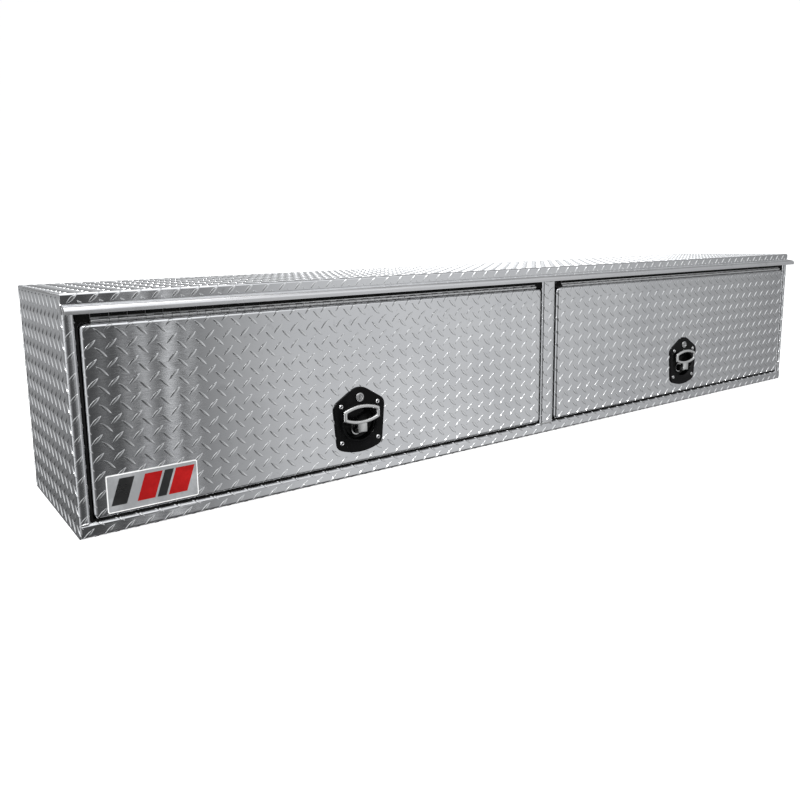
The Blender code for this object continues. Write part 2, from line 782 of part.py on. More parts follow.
def ring_handle(side, body):
    """Pull ring on a yoke, folded flat against the plate at rest."""
    x = latch_x(side)
    pin_z = LATCH_Z + SPINDLE_DROP
    z = pin_z + RING_RISE
    half = RING_THICK / 2
    chamfer = 0.0018
    section = [
        (chamfer, RING_D - half),
        (RING_BAR - chamfer, RING_D - half),
        (RING_BAR, RING_D - half + chamfer),
        (RING_BAR, RING_D + half - chamfer),
        (RING_BAR - chamfer, RING_D + half),
        (chamfer, RING_D + half),
        (0.0, RING_D + half - chamfer),
        (0.0, RING_D - half + chamfer),
    ]
    loops = []
    for inset, depth in section:
        loops.append([spot("Y", u, v, depth) for u, v in ring_outline(inset, x, z)])
    obj = add(f"ring_handle_{NAMES[side]}", lofted(loops, ring=True), "chrome_ring", body)
    wide = STEM_WIDE / 2
    yoke = []
    for k in range(7):
        angle = math.radians(90 - 180 * k / 6)
        yoke.append((FOLD_D + 0.0046 * math.cos(angle), pin_z + 0.0046 * math.sin(angle)))
    front = RING_D - half + 0.0008
    yoke += [(front + 0.0015, pin_z - 0.0046), (front, pin_z - 0.0031), (front, z - RING_TALL + 0.004)]
    yoke += [(RING_D + half - 0.001, z - RING_TALL + 0.004), (RING_D + half - 0.001, pin_z + 0.0046)]
    combine(obj, prism(yoke, "X", x - wide, x + wide), "UNION")
    slot = TONGUE_WIDE / 2 + 0.0003
    room = block((x - slot, x + slot), (FOLD_D - 0.0057, 0.005), (pin_z - 0.01, pin_z + 0.0090))
    combine(obj, room, "DIFFERENCE")
    hole = turned([(0.00165, x - 0.02), (0.00165, x + 0.02)], (FOLD_D, pin_z), "X", steps=12)
    return combine(obj, hole, "DIFFERENCE")


def ring_pin(side, body):
    x = latch_x(side)
    wide = STEM_WIDE / 2 - 0.0005
    centre = (FOLD_D, LATCH_Z + SPINDLE_DROP)
    pin = turned([(RING_PIN_R, x - wide), (RING_PIN_R, x + wide)], centre, "X", steps=10)
    return add(f"ring_pin_{NAMES[side]}", pin, "zinc_steel", body, smooth=True)


# ---------------------------------------------------------------- lock rods


def crank_pins(side):
    """The cam plate's two pins at rest, upper and lower, an eighth of a turn before upright."""
    x = latch_x(side)
    z = LATCH_Z + SPINDLE_DROP
    reach = CRANK * math.sin(math.radians(45))
    return ((x - reach, z + reach), (x + reach, z - reach))


def cam_plate(side, body):
    """Oval plate on the spindle's end, whose pins throw the rods."""
    x = latch_x(side)
    z = LATCH_Z + SPINDLE_DROP
    outline = []
    for k in range(24):
        angle = 2 * math.pi * k / 24
        shift = CRANK if math.cos(angle) > 0 else -CRANK
        u = shift + 0.0065 * math.cos(angle)
        v = 0.0065 * math.sin(angle)
        turn = math.radians(135)
        c, s = math.cos(turn), math.sin(turn)
        outline.append((x + u * c - v * s, z + u * s + v * c))
    plate = prism(outline, "Y", CAM_D, CAM_D + CAM_THICK)
    obj = add(f"cam_plate_{NAMES[side]}", plate, "zinc_steel", body)
    hub = [(SHAFT_R + 0.0004, CAM_D - 0.003), (0.0092, CAM_D - 0.003), (0.0092, CAM_D + 0.001)]
    hub.append((SHAFT_R + 0.0004, CAM_D + 0.001))
    combine(obj, turned(hub, (x, z), steps=20, ring=True), "UNION")
    hole = turned([(SHAFT_R + 0.0004, CAM_D - 0.01), (SHAFT_R + 0.0004, CAM_D + 0.01)], (x, z), steps=20)
    combine(obj, hole, "DIFFERENCE")
    pins = bmesh.new()
    for centre in crank_pins(side):
        span = [(CAM_PIN_R, CAM_D + 0.001), (CAM_PIN_R, ROD_D + ROD_THICK + 0.001)]
        turned(span, centre, steps=12, bm=pins)
    return combine(obj, pins, "UNION")


def lock_rod(side, heading, body):
    """Flat bar from the cam plate to the end of the door that heading points at."""
    x = latch_x(side)
    z = LATCH_Z + SPINDLE_DROP + heading * ROD_MID
    pin = crank_pins(side)[0 if heading > 0 else 1]
    low, high = door_span(side)
    tip = (high if heading > 0 else low) - heading * (0.0105 + ROD_WITHDRAWN)
    tail = pin[0] - heading * (SLOT_WIDE / 2 + 0.0035)
    x_span = sorted((tail, tip))
    half = ROD_TALL / 2
    outline = rounded(x_span, (z - half, z + half), 0.003, 2)
    name = f"rod_{'outer' if heading == side else 'inner'}_{NAMES[side]}"
    obj = add(name, prism(outline, "Y", ROD_D, ROD_D + ROD_THICK), "zinc_steel", body)
    slot = (SLOT_WIDE / 2, SLOT_TALL / 2)
    hole = rounded((pin[0] - slot[0], pin[0] + slot[0]), (z - slot[1], z + slot[1]), 0.002, 3)
    return combine(obj, prism(hole, "Y", ROD_D - 0.01, ROD_D + 0.01), "DIFFERENCE")


def rod_guide(side, heading, body):
    """Hat strap on the inner panel that a rod slides through."""
    low, high = door_span(side)
    end = high if heading > 0 else low
    x = end - heading * 0.11
    z = LATCH_Z + SPINDLE_DROP + heading * ROD_MID
    foot = DOOR_THICK - DOOR_PROUD + 0.0001
    half = ROD_TALL / 2 + 0.0012
    crown = ROD_D + ROD_THICK + 0.0008
    sheet = 0.0015
    path = [
        (foot + sheet, z - half - 0.011),
        (foot + sheet, z - half - sheet),
        (crown + sheet, z - half - sheet),
        (crown + sheet, z + half + sheet),
        (foot + sheet, z + half + sheet),
        (foot + sheet, z + half + 0.011),
    ]
    outline = fold(path, sheet=sheet, bend=0.0025, steps=2)
    strap = prism(outline, "X", x - GUIDE_LONG / 2, x + GUIDE_LONG / 2)
    name = f"rod_guide_{'outer' if heading == side else 'inner'}_{NAMES[side]}"
    return add(name, strap, "zinc_steel", body)


# ---------------------------------------------------------------- gas struts


def strut_ends(side):
    start = Vector((side * STRUT_X, FRONT + STRUT_FRAME[0], STRUT_FRAME[1]))
    end = Vector((side * STRUT_X, FRONT + STRUT_DOOR[0], STRUT_DOOR[1]))
    return start, end


def strut_cylinder(side, body):
    """Cylinder with a plastic socket at its frame end and a gland that the rod slides in."""
    start, end = strut_ends(side)
    nose = (end - start).length - NOSE_SHORT
    bore = STRUT_R - STRUT_WALL
    gland = STRUT_ROD_R + SOCKET_GAP
    outside = [
        (STRUT_NECK_R, 0.003),
        (STRUT_NECK_R, 0.014),
        (STRUT_R - 0.002, 0.016),
        (STRUT_R, 0.020),
        (STRUT_R, nose - 0.002),
        (STRUT_R - 0.001, nose),
        (gland, nose),
    ]
    inside = [(gland, nose - GLAND_LONG + 0.002), (bore, nose - GLAND_LONG), (bore, 0.024)]
    tube = bar_between(start, end, outside + inside)
    obj = add(f"strut_cylinder_{NAMES[side]}", tube, "strut_paint", body)
    socket = turned(
        [(SOCKET_R, side * STRUT_X - SOCKET_R), (SOCKET_R, side * STRUT_X + SOCKET_R)],
        STRUT_FRAME,
        "X",
        steps=16,
    )
    return combine(obj, socket, "UNION")


def strut_rod(side, body):
    """Polished rod with its piston inside the cylinder and a plastic socket at the door end."""
    start, end = strut_ends(side)
    long = (end - start).length
    piston = STRUT_R - 0.0020
    radii = [
        (piston - 0.001, 0.026),
        (piston, 0.027),
        (piston, 0.035),
        (STRUT_ROD_R, 0.036),
        (STRUT_ROD_R, long - 0.016),
        (STRUT_NECK_R, long - 0.016),
        (STRUT_NECK_R, long - 0.003),
    ]
    obj = add(f"strut_rod_{NAMES[side]}", bar_between(start, end, radii), "zinc_steel", body)
    socket = turned(
        [(SOCKET_R, side * STRUT_X - SOCKET_R), (SOCKET_R, side * STRUT_X + SOCKET_R)],
        STRUT_DOOR,
        "X",
        steps=16,
    )
    return combine(obj, socket, "UNION")


def strut_frame_stud(side):
    """Plate on the end panel with the long stud that the cylinder's socket snaps on to."""
    wall = HALF - SHEET - GAP
    d, z = STRUT_FRAME
    outline = rounded((d - 0.02, d + 0.02), (z - 0.014, z + 0.014), 0.004, 2)
    plate = prism(outline, "X", *sorted((side * wall, side * (wall - STUD_PLATE))))
    obj = add(f"strut_frame_stud_{NAMES[side]}", plate, "zinc_steel")
    face = STRUT_X + SOCKET_R + SOCKET_GAP
    stud = turned([(0.004, side * face), (0.004, side * (wall - 0.001))], STRUT_FRAME, "X", steps=12)
    return combine(obj, stud, "UNION")


def strut_door_stud(side, body):
    """Angle bracket on the inner panel with the stud for the rod's socket."""
    d, z = STRUT_DOOR
    ear = STRUT_X - SOCKET_R - EAR_OUT
    foot = DOOR_THICK - DOOR_PROUD + 0.0001
    span = sorted((side * ear, side * (ear - EAR_WIDE)))
    plate = block(span, (foot, foot + EAR_SHEET), (z - 0.012, z + 0.012))
    obj = add(f"strut_door_stud_{NAMES[side]}", plate, "zinc_steel", body)
    span = sorted((side * ear, side * (ear - EAR_SHEET)))
    upright = block(span, (foot, d + SOCKET_R), (z - 0.009, z + 0.009))
    combine(obj, upright, "UNION")
    face = STRUT_X - SOCKET_R - SOCKET_GAP
    stud = turned([(0.003, side * face), (0.003, side * (ear - 0.001))], STRUT_DOOR, "X", steps=12)
    return combine(obj, stud, "UNION")


def maker_badge(body):
    """Blank badge plate low on the left door."""
    low, _ = door_span(-1)
    x = (low + 0.022, low + 0.182)
    face = -DOOR_PROUD - GAP
    outline = rounded(x, (DOOR_LOW + 0.006, DOOR_LOW + 0.071), 0.003, 3)
    return add("badge_plate", prism(outline, "Y", face - 0.0014, face), "badge", body)


# ---------------------------------------------------------------- assembly


def clear_scene():
    for obj in list(bpy.data.objects):
        bpy.data.objects.remove(obj, do_unlink=True)


def build_shell():
    bottom_pan()
    top_cover()
    back_panel()
    centre_post()
    header()
    drip_rail()
    for side in (-1, 1):
        end_panel(side)
        door_seal(side)
        hinge_leaf(side, on_door=False)
        hinge_pin(side)
        strut_frame_stud(side)


def build_door(side):
    name = NAMES[side]
    x = latch_x(side)
    swing = pivot(f"door_pivot_{name}", (x, FRONT + HINGE_D, HINGE_Z))
    door_skin(side, swing)
    door_inner(side, swing)
    hinge_leaf(side, on_door=True, body=swing)
    latch_plate(side, swing)
    latch_rivets(side, swing)
    lock_cylinder(side, swing)
    strut_door_stud(side, swing)
    key = pivot(f"key_pivot_{name}", (x, FRONT, LATCH_Z + LOCK_RISE), swing)
    lock_plug(side, key)
    spindle_z = LATCH_Z + SPINDLE_DROP
    turn = pivot(f"handle_pivot_{name}", (x, FRONT, spindle_z), swing)
    spindle(side, turn)
    cam_plate(side, turn)
    ring_pin(side, turn)
    folding = pivot(f"ring_pivot_{name}", (x, FRONT + FOLD_D, spindle_z), turn)
    ring_handle(side, folding)
    for heading in (-1, 1):
        rod_guide(side, heading, swing)
        slide = pivot(f"rod_slide_{heading * side}_{name}", (x, FRONT + ROD_D, spindle_z), swing)
        lock_rod(side, heading, slide)
    start, _ = strut_ends(side)
    strut = pivot(f"strut_pivot_{name}", start)
    strut_cylinder(side, strut)
    strut_rod(side, pivot(f"strut_slide_{name}", start, strut))
    if side < 0:
        maker_badge(swing)


clear_scene()
MATERIALS = {name: make_material(name) for name in FINISHES}
build_shell()
for door_side in (-1, 1):
    build_door(door_side)
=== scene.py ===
"""Looks of a top-side truck tool box in aluminium tread plate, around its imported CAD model.

+X runs to the right along the box, -Y out of its doors and +Z up. Metres throughout. Depths (d) are
measured backwards from the front face of the frame.
"""

import math

import bmesh
import bpy
import numpy as np
from mathutils import Matrix, Vector


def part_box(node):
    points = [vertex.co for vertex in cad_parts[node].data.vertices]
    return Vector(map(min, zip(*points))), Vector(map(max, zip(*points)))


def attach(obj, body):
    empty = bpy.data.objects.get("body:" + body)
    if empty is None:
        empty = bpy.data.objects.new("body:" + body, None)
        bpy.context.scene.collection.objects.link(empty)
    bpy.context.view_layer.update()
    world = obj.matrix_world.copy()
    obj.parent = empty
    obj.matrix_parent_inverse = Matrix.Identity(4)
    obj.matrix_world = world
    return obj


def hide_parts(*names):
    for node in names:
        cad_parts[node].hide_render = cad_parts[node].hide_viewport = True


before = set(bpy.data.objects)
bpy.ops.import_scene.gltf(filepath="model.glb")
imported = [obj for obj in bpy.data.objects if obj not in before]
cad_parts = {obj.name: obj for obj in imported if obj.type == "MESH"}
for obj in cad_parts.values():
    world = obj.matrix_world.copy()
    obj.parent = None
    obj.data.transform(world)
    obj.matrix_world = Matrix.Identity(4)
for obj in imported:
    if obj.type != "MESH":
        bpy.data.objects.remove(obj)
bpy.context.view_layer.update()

# ---- dimensions

SIDES = {-1: "left", 1: "right"}
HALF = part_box("top_cover")[1].x
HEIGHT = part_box("top_cover")[1].z
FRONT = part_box("top_cover")[0].y
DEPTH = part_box("top_cover")[1].y - FRONT
BACK_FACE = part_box("back_panel")[1].y
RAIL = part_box("centre_post")[0].z - 0.0003
STILE = 0.02
SHEET = 0.002
BEND = 0.006
COVER_BEND = 0.004
POST_HALF = 0.022
LIP_DEPTH = 0.027
BACK_FLANGE = 0.025
FLANGE_LOW = HEIGHT - 0.0174
DOOR_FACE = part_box("door_skin_left")[0].y
DOOR_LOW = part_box("door_skin_left")[0].z
DOOR_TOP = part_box("door_skin_left")[1].z

# Tread pattern
PITCH_H = 0.0342
PITCH_V = 0.0313
OTHER_RISE = 0.605
LOZENGE_LONG = 0.0275
LOZENGE_WIDE = 0.0066
LOZENGE_HIGH = 0.0012
LOZENGE_TILT = math.radians(41)
SUNK = 0.00025
# One lozenge's place on each sheet: x and z, or on the cover x and the distance up from the flange's edge
COVER_LOZENGE = (-0.005, 0.009)
RAIL_LOZENGE = (-0.0091, 0.007)
STILE_LOZENGE = (-1.11, 0.2012)
POST_LOZENGE = (0.005, 0.3186)
DOOR_LOZENGE = {"left": (-1.0786, 0.3204), "right": (0.0488, 0.3212)}

# Latch, repeated from the CAD
LATCH_Z = 0.12
DISH_Z = LATCH_Z - 0.006
DISH_R = 0.0355
DISH_FLOOR = 0.0115
PLATE_BACK = DOOR_FACE - FRONT - 0.0003
PLATE_FRONT = PLATE_BACK - 0.0027
SPINDLE_Z = LATCH_Z - 0.0215
SPINDLE_R = 0.0088
LOCK_Z = LATCH_Z + 0.046
RIVET_X = 0.0445
RIVET_Z = 0.0375
RING_D = -0.011
RING_THICK = 0.007
RING_WIDE = 0.0435
RING_TALL = 0.02
RING_END = 0.0105
RING_BAR = 0.0075
RING_Z = SPINDLE_Z + 0.0335
FOLD_D = -0.006
STEM_HALF = 0.011
TONGUE_HALF = 0.005
YOKE_R = 0.0046

# Hinge and struts
HINGE_D = 0.0025
HINGE_Z = 0.36
KNUCKLES = 68
KNUCKLE_R = 0.003
STRUT_X = 1.062
STRUT_FRAME = (0.3, 0.27)
STRUT_DOOR = (0.043, 0.325)
# Top of the near-black strips in the door gap, which are painted shade for the gap's shadow
GAP_SHADE_TOP = 0.3712


# ---- materials


class Nodes:
    """Short calls for the nodes of one node tree."""

    def __init__(self, tree):
        self.tree = tree

    def node(self, kind, **settings):
        made = self.tree.nodes.new(kind)
        for key, value in settings.items():
            setattr(made, key, value)
        return made

    def feed(self, socket, value):
        if isinstance(value, bpy.types.NodeSocket):
            self.tree.links.new(value, socket)
        else:
            socket.default_value = value

    def math(self, operation, a, b):
        made = self.node("ShaderNodeMath", operation=operation)
        self.feed(made.inputs[0], a)
        self.feed(made.inputs[1], b)
        return made.outputs[0]

    def spread(self, value, low, high, to_low=0.0, to_high=1.0, shape="LINEAR"):
        """The value, mapped from low..high to to_low..to_high."""
        made = self.node("ShaderNodeMapRange", interpolation_type=shape)
        for socket, number in zip(made.inputs, (value, low, high, to_low, to_high)):
            self.feed(socket, number)
        return made.outputs[0]

    def mix(self, factor, a, b):
        """Blend of two colours, each a socket or a triple."""
        made = self.node("ShaderNodeMix", data_type="RGBA")
        for key, value in ((0, factor), (6, a), (7, b)):
            self.feed(made.inputs[key], (*value, 1.0) if isinstance(value, tuple) else value)
        return made.outputs[2]


class Finish(Nodes):
    """A procedural material on the principled shader."""

    def __init__(self, name, colour, metallic, roughness):
        self.material = bpy.data.materials.new(name)
        self.material.use_nodes = True
        super().__init__(self.material.node_tree)
        self.shader = self.tree.nodes["Principled BSDF"]
        self.coordinates = self.node("ShaderNodeTexCoord")
        self.place = self.coordinates.outputs["Object"]
        self.set("Base Color", (*colour, 1.0))
        self.set("Metallic", metallic)
        self.set("Roughness", roughness)

    def set(self, name, value):
        self.feed(self.shader.inputs[name], value)

    def noise(self, scale, detail=3.0, stretch=(1, 1, 1), rough=0.55):
        mapping = self.node("ShaderNodeMapping")
        self.feed(mapping.inputs["Vector"], self.place)
        self.feed(mapping.inputs["Scale"], stretch)
        made = self.node("ShaderNodeTexNoise")
        self.feed(made.inputs["Vector"], mapping.outputs["Vector"])
        for key, value in (("Scale", scale), ("Detail", detail), ("Roughness", rough)):
            self.feed(made.inputs[key], value)
        return made.outputs["Fac"]

    def cells(self, scale):
        made = self.node("ShaderNodeTexVoronoi")
        self.feed(made.inputs["Vector"], self.place)
        self.feed(made.inputs["Scale"], scale)
        return made.outputs["Distance"]

    def bump(self, *heights):
        """Each height is (value, strength, distance in metres)."""
        normal = None
        for value, strength, distance in heights:
            made = self.node("ShaderNodeBump")
            for key, fed in (("Strength", strength), ("Distance", distance), ("Height", value)):
                self.feed(made.inputs[key], fed)
            if normal is not None:
                self.feed(made.inputs["Normal"], normal)
            normal = made.outputs["Normal"]
        self.set("Normal", normal)

    def brushed_along(self, axis, amount):
        """Highlights stretch across the rolling lines."""
        self.set("Anisotropic", amount)
        tangent = self.node("ShaderNodeTangent", direction_type="RADIAL", axis=axis)
        self.set("Tangent", tangent.outputs[0])


def plate_finish(name, light, dark, low, high, stretched=None, trodden=0.0):
    """Rolled aluminium plate: clouded oxide, rolling lines along X, shallow waviness and scuffs.

    trodden is the roughness added on faces that look up.
    """
    f = Finish(name, light, 1.0, low)
    cloud = f.noise(4.5, 5.0)
    lines = f.noise(1.0, 4.0, (5, 420, 420))
    scuff = f.noise(60.0, 6.0, (1, 1, 1), 0.7)
    speck = f.spread(scuff, 0.6, 0.74)
    tone = f.mix(f.spread(cloud, 0.35, 0.68), light, dark)
    f.set("Base Color", f.mix(f.math("MULTIPLY", speck, 0.35), tone, (0.4, 0.4, 0.41)))
    rough = f.spread(cloud, 0.3, 0.7, low, high)
    rough = f.math("ADD", rough, f.spread(lines, 0.3, 0.7, -0.015, 0.015))
    if trodden:
        way = f.node("ShaderNodeSeparateXYZ")
        f.feed(way.inputs[0], f.coordinates.outputs["Normal"])
        rough = f.math("ADD", rough, f.spread(way.outputs[2], 0.4, 0.6, 0.0, trodden))
    f.set("Roughness", f.math("ADD", rough, f.math("MULTIPLY", speck, 0.03)))
    wave = f.noise(9.0, 2.0)
    f.bump((wave, 0.05, 0.002), (lines, 0.08, 0.0004), (scuff, 0.004, 0.0004))
    if stretched:
        f.brushed_along(*stretched)
    return f.material


def drawn_finish(name, light, dark, low, high, stretch, lines_strength=0.15):
    """Drawn or ground metal with fine lines: stretch sets the lines' frequency along each axis."""
    f = Finish(name, light, 1.0, low)
    lines = f.noise(1.0, 4.0, stretch)
    cloud = f.noise(12.0, 4.0)
    f.set("Base Color", f.mix(f.spread(lines, 0.3, 0.7), light, dark))
    rough = f.spread(cloud, 0.3, 0.7, low, high)
    f.set("Roughness", f.math("ADD", rough, f.spread(lines, 0.3, 0.7, -0.04, 0.06)))
    f.bump((lines, lines_strength, 0.0003), (cloud, 0.06, 0.002))
    return f.material


def paint_finish(name, colour, low, high, grain, coat=0.0, shine=0.5):
    """Powder coat or moulding: fine orange peel, dust in the hollows and rubbed patches."""
    f = Finish(name, colour, 0.0, low)
    peel = f.noise(grain, 3.0)
    rub = f.noise(22.0, 5.0, (1, 1, 1), 0.65)
    dust = f.noise(900.0, 2.0)
    worn = tuple(min(1.0, c * 1.5 + 0.003) for c in colour)
    f.set("Base Color", f.mix(f.spread(rub, 0.45, 0.75), colour, worn))
    rough = f.spread(rub, 0.35, 0.7, low, high)
    f.set("Roughness", f.math("ADD", rough, f.spread(dust, 0.6, 0.8, 0.0, 0.12)))
    f.bump((peel, 0.12, 0.0004), (dust, 0.03, 0.0001))
    f.set("Specular IOR Level", shine)
    f.set("Coat Weight", coat)
    f.set("Coat Roughness", 0.12)
    return f.material


def zinc_finish(name):
    """Bright zinc plating with a faint spangle and a yellow-blue passivation tint."""
    f = Finish(name, (0.62, 0.63, 0.64), 1.0, 0.3)
    spangle = f.cells(420.0)
    tint = f.noise(35.0, 3.0)
    tone = f.mix(f.spread(tint, 0.35, 0.65), (0.6, 0.62, 0.66), (0.66, 0.63, 0.55))
    f.set("Base Color", f.mix(f.spread(spangle, 0.2, 0.8, 0.0, 0.5), tone, (0.45, 0.46, 0.47)))
    f.set("Roughness", f.spread(spangle, 0.0, 0.8, 0.24, 0.42))
    f.bump((spangle, 0.08, 0.0003), (tint, 0.05, 0.002))
    return f.material


def weld_finish():
    f = Finish("weld_bead", (0.8, 0.8, 0.8), 1.0, 0.22)
    soot = f.noise(260.0, 4.0)
    f.set("Base Color", f.mix(f.spread(soot, 0.45, 0.7), (0.84, 0.84, 0.83), (0.46, 0.46, 0.47)))
    f.set("Roughness", f.spread(soot, 0.3, 0.7, 0.18, 0.42))
    f.bump((soot, 0.2, 0.0005))
    return f.material


def floor_finish():
    f = Finish("studio_floor", (0.86, 0.86, 0.86), 0.0, 0.7)
    f.set("Roughness", f.spread(f.noise(30.0), 0.3, 0.7, 0.62, 0.78))
    f.set("Specular IOR Level", 0.1)
    f.set("Emission Color", (1.0, 1.0, 1.0, 1.0))
    f.set("Emission Strength", 0.7)
    return f.material


BRIGHT = (0.9, 0.905, 0.915)
DULL = (0.8, 0.805, 0.82)
PLATES = {
    "plate": ("tread_plate_long", BRIGHT, DULL, 0.035, 0.06, ("X", 0.9)),
    "plate_floor": ("tread_plate_floor", BRIGHT, DULL, 0.035, 0.06, ("X", 0.9), 0.24),
    "plate_back": ("tread_plate_back", BRIGHT, DULL, 0.24, 0.34),
    "plate_side": ("tread_plate_side", BRIGHT, DULL, 0.13, 0.18),
    "tread": ("tread_crests", (0.94, 0.945, 0.95), (0.86, 0.865, 0.87), 0.11, 0.18),
}
DRAWN = {
    "smooth": ("smooth_aluminium_drawn", (0.92, 0.92, 0.93), (0.84, 0.84, 0.85), 0.25, 0.35, (4, 900, 900)),
    "rivet": ("rivet_aluminium", (0.93, 0.93, 0.93), (0.8, 0.8, 0.8), 0.26, 0.38, (500, 500, 500), 0.08),
    "mill": ("mill_aluminium_sheet", (0.78, 0.78, 0.79), (0.68, 0.69, 0.7), 0.32, 0.44, (9, 500, 500)),
    "chrome": ("satin_chrome", (0.93, 0.93, 0.92), (0.8, 0.8, 0.79), 0.24, 0.34, (120, 800, 800)),
    "lock": ("lock_steel_turned", (0.66, 0.66, 0.66), (0.5, 0.5, 0.5), 0.22, 0.34, (700, 60, 700)),
    "barrel": ("hinge_aluminium", (0.96, 0.96, 0.96), (0.86, 0.86, 0.86), 0.28, 0.38, (60, 700, 700), 0.08),
    "rod": ("strut_rod_chrome", (0.85, 0.85, 0.86), (0.76, 0.76, 0.77), 0.08, 0.14, (900, 30, 900)),
}
PAINTED = {
    "black": ("gloss_black_coat", (0.0014, 0.0014, 0.0015), 0.1, 0.2, 1100.0, 0.0, 0.1),
    "strut": ("strut_black_paint", (0.01, 0.01, 0.011), 0.22, 0.36, 900.0, 0.1),
    # Seal rubber. The same near-black also colours the strips in the door gap and under the drip rail, which are
    # painted shade for the shadows there
    "rubber": ("seal_rubber", (0.0035, 0.0035, 0.0035), 0.55, 0.78, 1600.0, 0.0, 0.12),
    "socket": ("socket_nylon", (0.02, 0.02, 0.021), 0.42, 0.58, 1400.0),
    # Rivet mandrel, near black: partly the mandrel's own colour, partly painted shade of the rivet's hollow centre
    "mandrel": ("rivet_mandrel", (0.012, 0.012, 0.012), 0.4, 0.6, 900.0, 0.0, 0.25),
    "badge": ("badge_grey_enamel", (0.23, 0.235, 0.24), 0.3, 0.42, 500.0, 0.2),
    "badge_black": ("badge_black_enamel", (0.01, 0.01, 0.01), 0.26, 0.38, 500.0, 0.2),
    "badge_white": ("badge_white_enamel", (0.78, 0.78, 0.77), 0.32, 0.45, 500.0),
    "badge_red": ("badge_red_enamel", (0.27, 0.003, 0.003), 0.36, 0.48, 500.0, 0.0, 0.1),
}
LOOKS = {"zinc": zinc_finish("zinc_plating"), "weld": weld_finish()}
for finish, rows in ((plate_finish, PLATES), (drawn_finish, DRAWN), (paint_finish, PAINTED)):
    LOOKS.update({look: finish(*row) for look, row in rows.items()})

CAD_LOOKS = {
    "bottom_pan": "plate_floor",
    "top_cover": "plate",
    "back_panel": "plate_back",
    "centre_post": "plate",
    "header": "mill",
    "drip_rail": "smooth",
}
PAIRED_LOOKS = {
    "side_panel": "plate_side",
    "door_skin": "plate",
    "door_inner": "mill",
    "door_seal": "rubber",
    "lock_plug": "lock",
}
PLATED = "hinge_pin ring_pin cam_plate rod_outer rod_inner rod_guide_outer rod_guide_inner"
PLATED += " strut_frame_stud strut_door_stud"
PAIRED_LOOKS.update(dict.fromkeys(PLATED.split(), "zinc"))
for side in SIDES.values():
    CAD_LOOKS.update({f"{node}_{side}": look for node, look in PAIRED_LOOKS.items()})


# ---- building pieces


def added(name, data):
    obj = bpy.data.objects.new(name, data)
    bpy.context.scene.collection.objects.link(obj)
    return obj


def piece(name, shape, look, body, replaces=(), sharp=None):
    """One shown piece from (points, faces)."""
    mesh = bpy.data.meshes.new(name)
    mesh.from_pydata([tuple(map(float, p)) for p in shape[0]], [], shape[1])
    mesh.validate()
    placed(name, mesh, look, body, replaces, sharp)


def placed(name, mesh, look, body, replaces=(), sharp=None):
    mesh.materials.append(LOOKS[look])
    mesh.shade_smooth()
    if sharp is not None:
        mesh.set_sharp_from_angle(angle=math.radians(sharp))
    obj = added(name, mesh)
    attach(obj, body)
    if replaces:
        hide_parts(*replaces)


def joined(shapes):
    points, faces = [], []
    for more, these in shapes:
        base = len(points)
        points += [tuple(p) for p in more]
        faces += [[base + i for i in face] for face in these]
    return points, faces


def loft(loops, ring=False):
    """Skin over closed loops of equal count: capped at both ends, or joined end to start."""
    count = len(loops[0])
    faces = []
    spans = len(loops) if ring else len(loops) - 1
    for k in range(spans):
        a, b = k * count, (k + 1) % len(loops) * count
        faces += [[a + i, a + (i + 1) % count, b + (i + 1) % count, b + i] for i in range(count)]
    if not ring:
        last = (len(loops) - 1) * count
        faces.append(list(range(count))[::-1])
        faces.append([last + i for i in range(count)])
    return outward(([p for loop in loops for p in loop], faces))


def outward(shape):
    """The same closed shape with its faces turned outwards."""
    points = np.array(shape[0], float)
    middle = points.mean(0)
    total = 0.0
    for face in shape[1]:
        corners = points[face] - middle
        total += (np.cross(corners[1:-1], corners[2:]) @ corners[0]).sum()
    faces = shape[1] if total > 0 else [face[::-1] for face in shape[1]]
    return [tuple(p) for p in points], faces


def around(steps, shift=0.0):
    """Evenly spread angles of a full turn."""
    return [2 * math.pi * (k + shift) / steps for k in range(steps)]


def arc(count, start, end):
    return [math.radians(start + (end - start) * k / count) for k in range(count + 1)]


def axial(u, v, w, axis):
    """Point at w along an axis: on Y (u, v) is (x, z), on X it is (d, z)."""
    return (u, FRONT + w, v) if axis == "Y" else (w, FRONT + u, v)


def turned(profile, centre, axis="Y", steps=48, ring=False, base=0.0):
    """(radius, depth past base) profile turned about centre: on axis Y (x, z) and depth d, on X (d, z) and x."""
    loops = []
    for radius, depth in profile:
        loop = [(centre[0] + radius * math.cos(a), centre[1] + radius * math.sin(a)) for a in around(steps)]
        loops.append([axial(u, v, base + depth, axis) for u, v in loop])
    return loft(loops, ring)


def prism(outline, axis, low, high, bevel=0.0):
    """Outline drawn out along an axis, with softened edges: axis Y takes (x, z) and X takes (d, z)."""
    shape = loft([[axial(u, v, w, axis) for u, v in outline] for w in (low, high)])
    return softened(shape, bevel) if bevel else shape


def softened(shape, width):
    bm = bmesh.new()
    verts = [bm.verts.new(p) for p in shape[0]]
    for face in shape[1]:
        bm.faces.new([verts[i] for i in face])
    bm.normal_update()
    edges = [e for e in bm.edges if len(e.link_faces) == 2 and e.calc_face_angle() > math.radians(50)]
    bmesh.ops.bevel(bm, geom=edges, offset=width, segments=2, affect="EDGES", profile=0.5)
    bm.verts.index_update()
    made = [tuple(v.co) for v in bm.verts], [[v.index for v in f.verts] for f in bm.faces]
    bm.free()
    return made


def block(x, d, z, bevel=0.0):
    outline = [(x[0], z[0]), (x[1], z[0]), (x[1], z[1]), (x[0], z[1])]
    return prism(outline, "Y", d[0], d[1], bevel)


def along(start, end, profile, steps=32):
    """(radius, distance) profile turned about the line from start to end."""
    start, end = Vector(start), Vector(end)
    way = (end - start).normalized()
    side = Vector((1, 0, 0))
    up = way.cross(side).normalized()
    loops = []
    for radius, distance in profile:
        centre = start + way * distance
        loops.append([tuple(centre + radius * (math.cos(a) * side + math.sin(a) * up)) for a in around(steps)])
    return loft(loops)


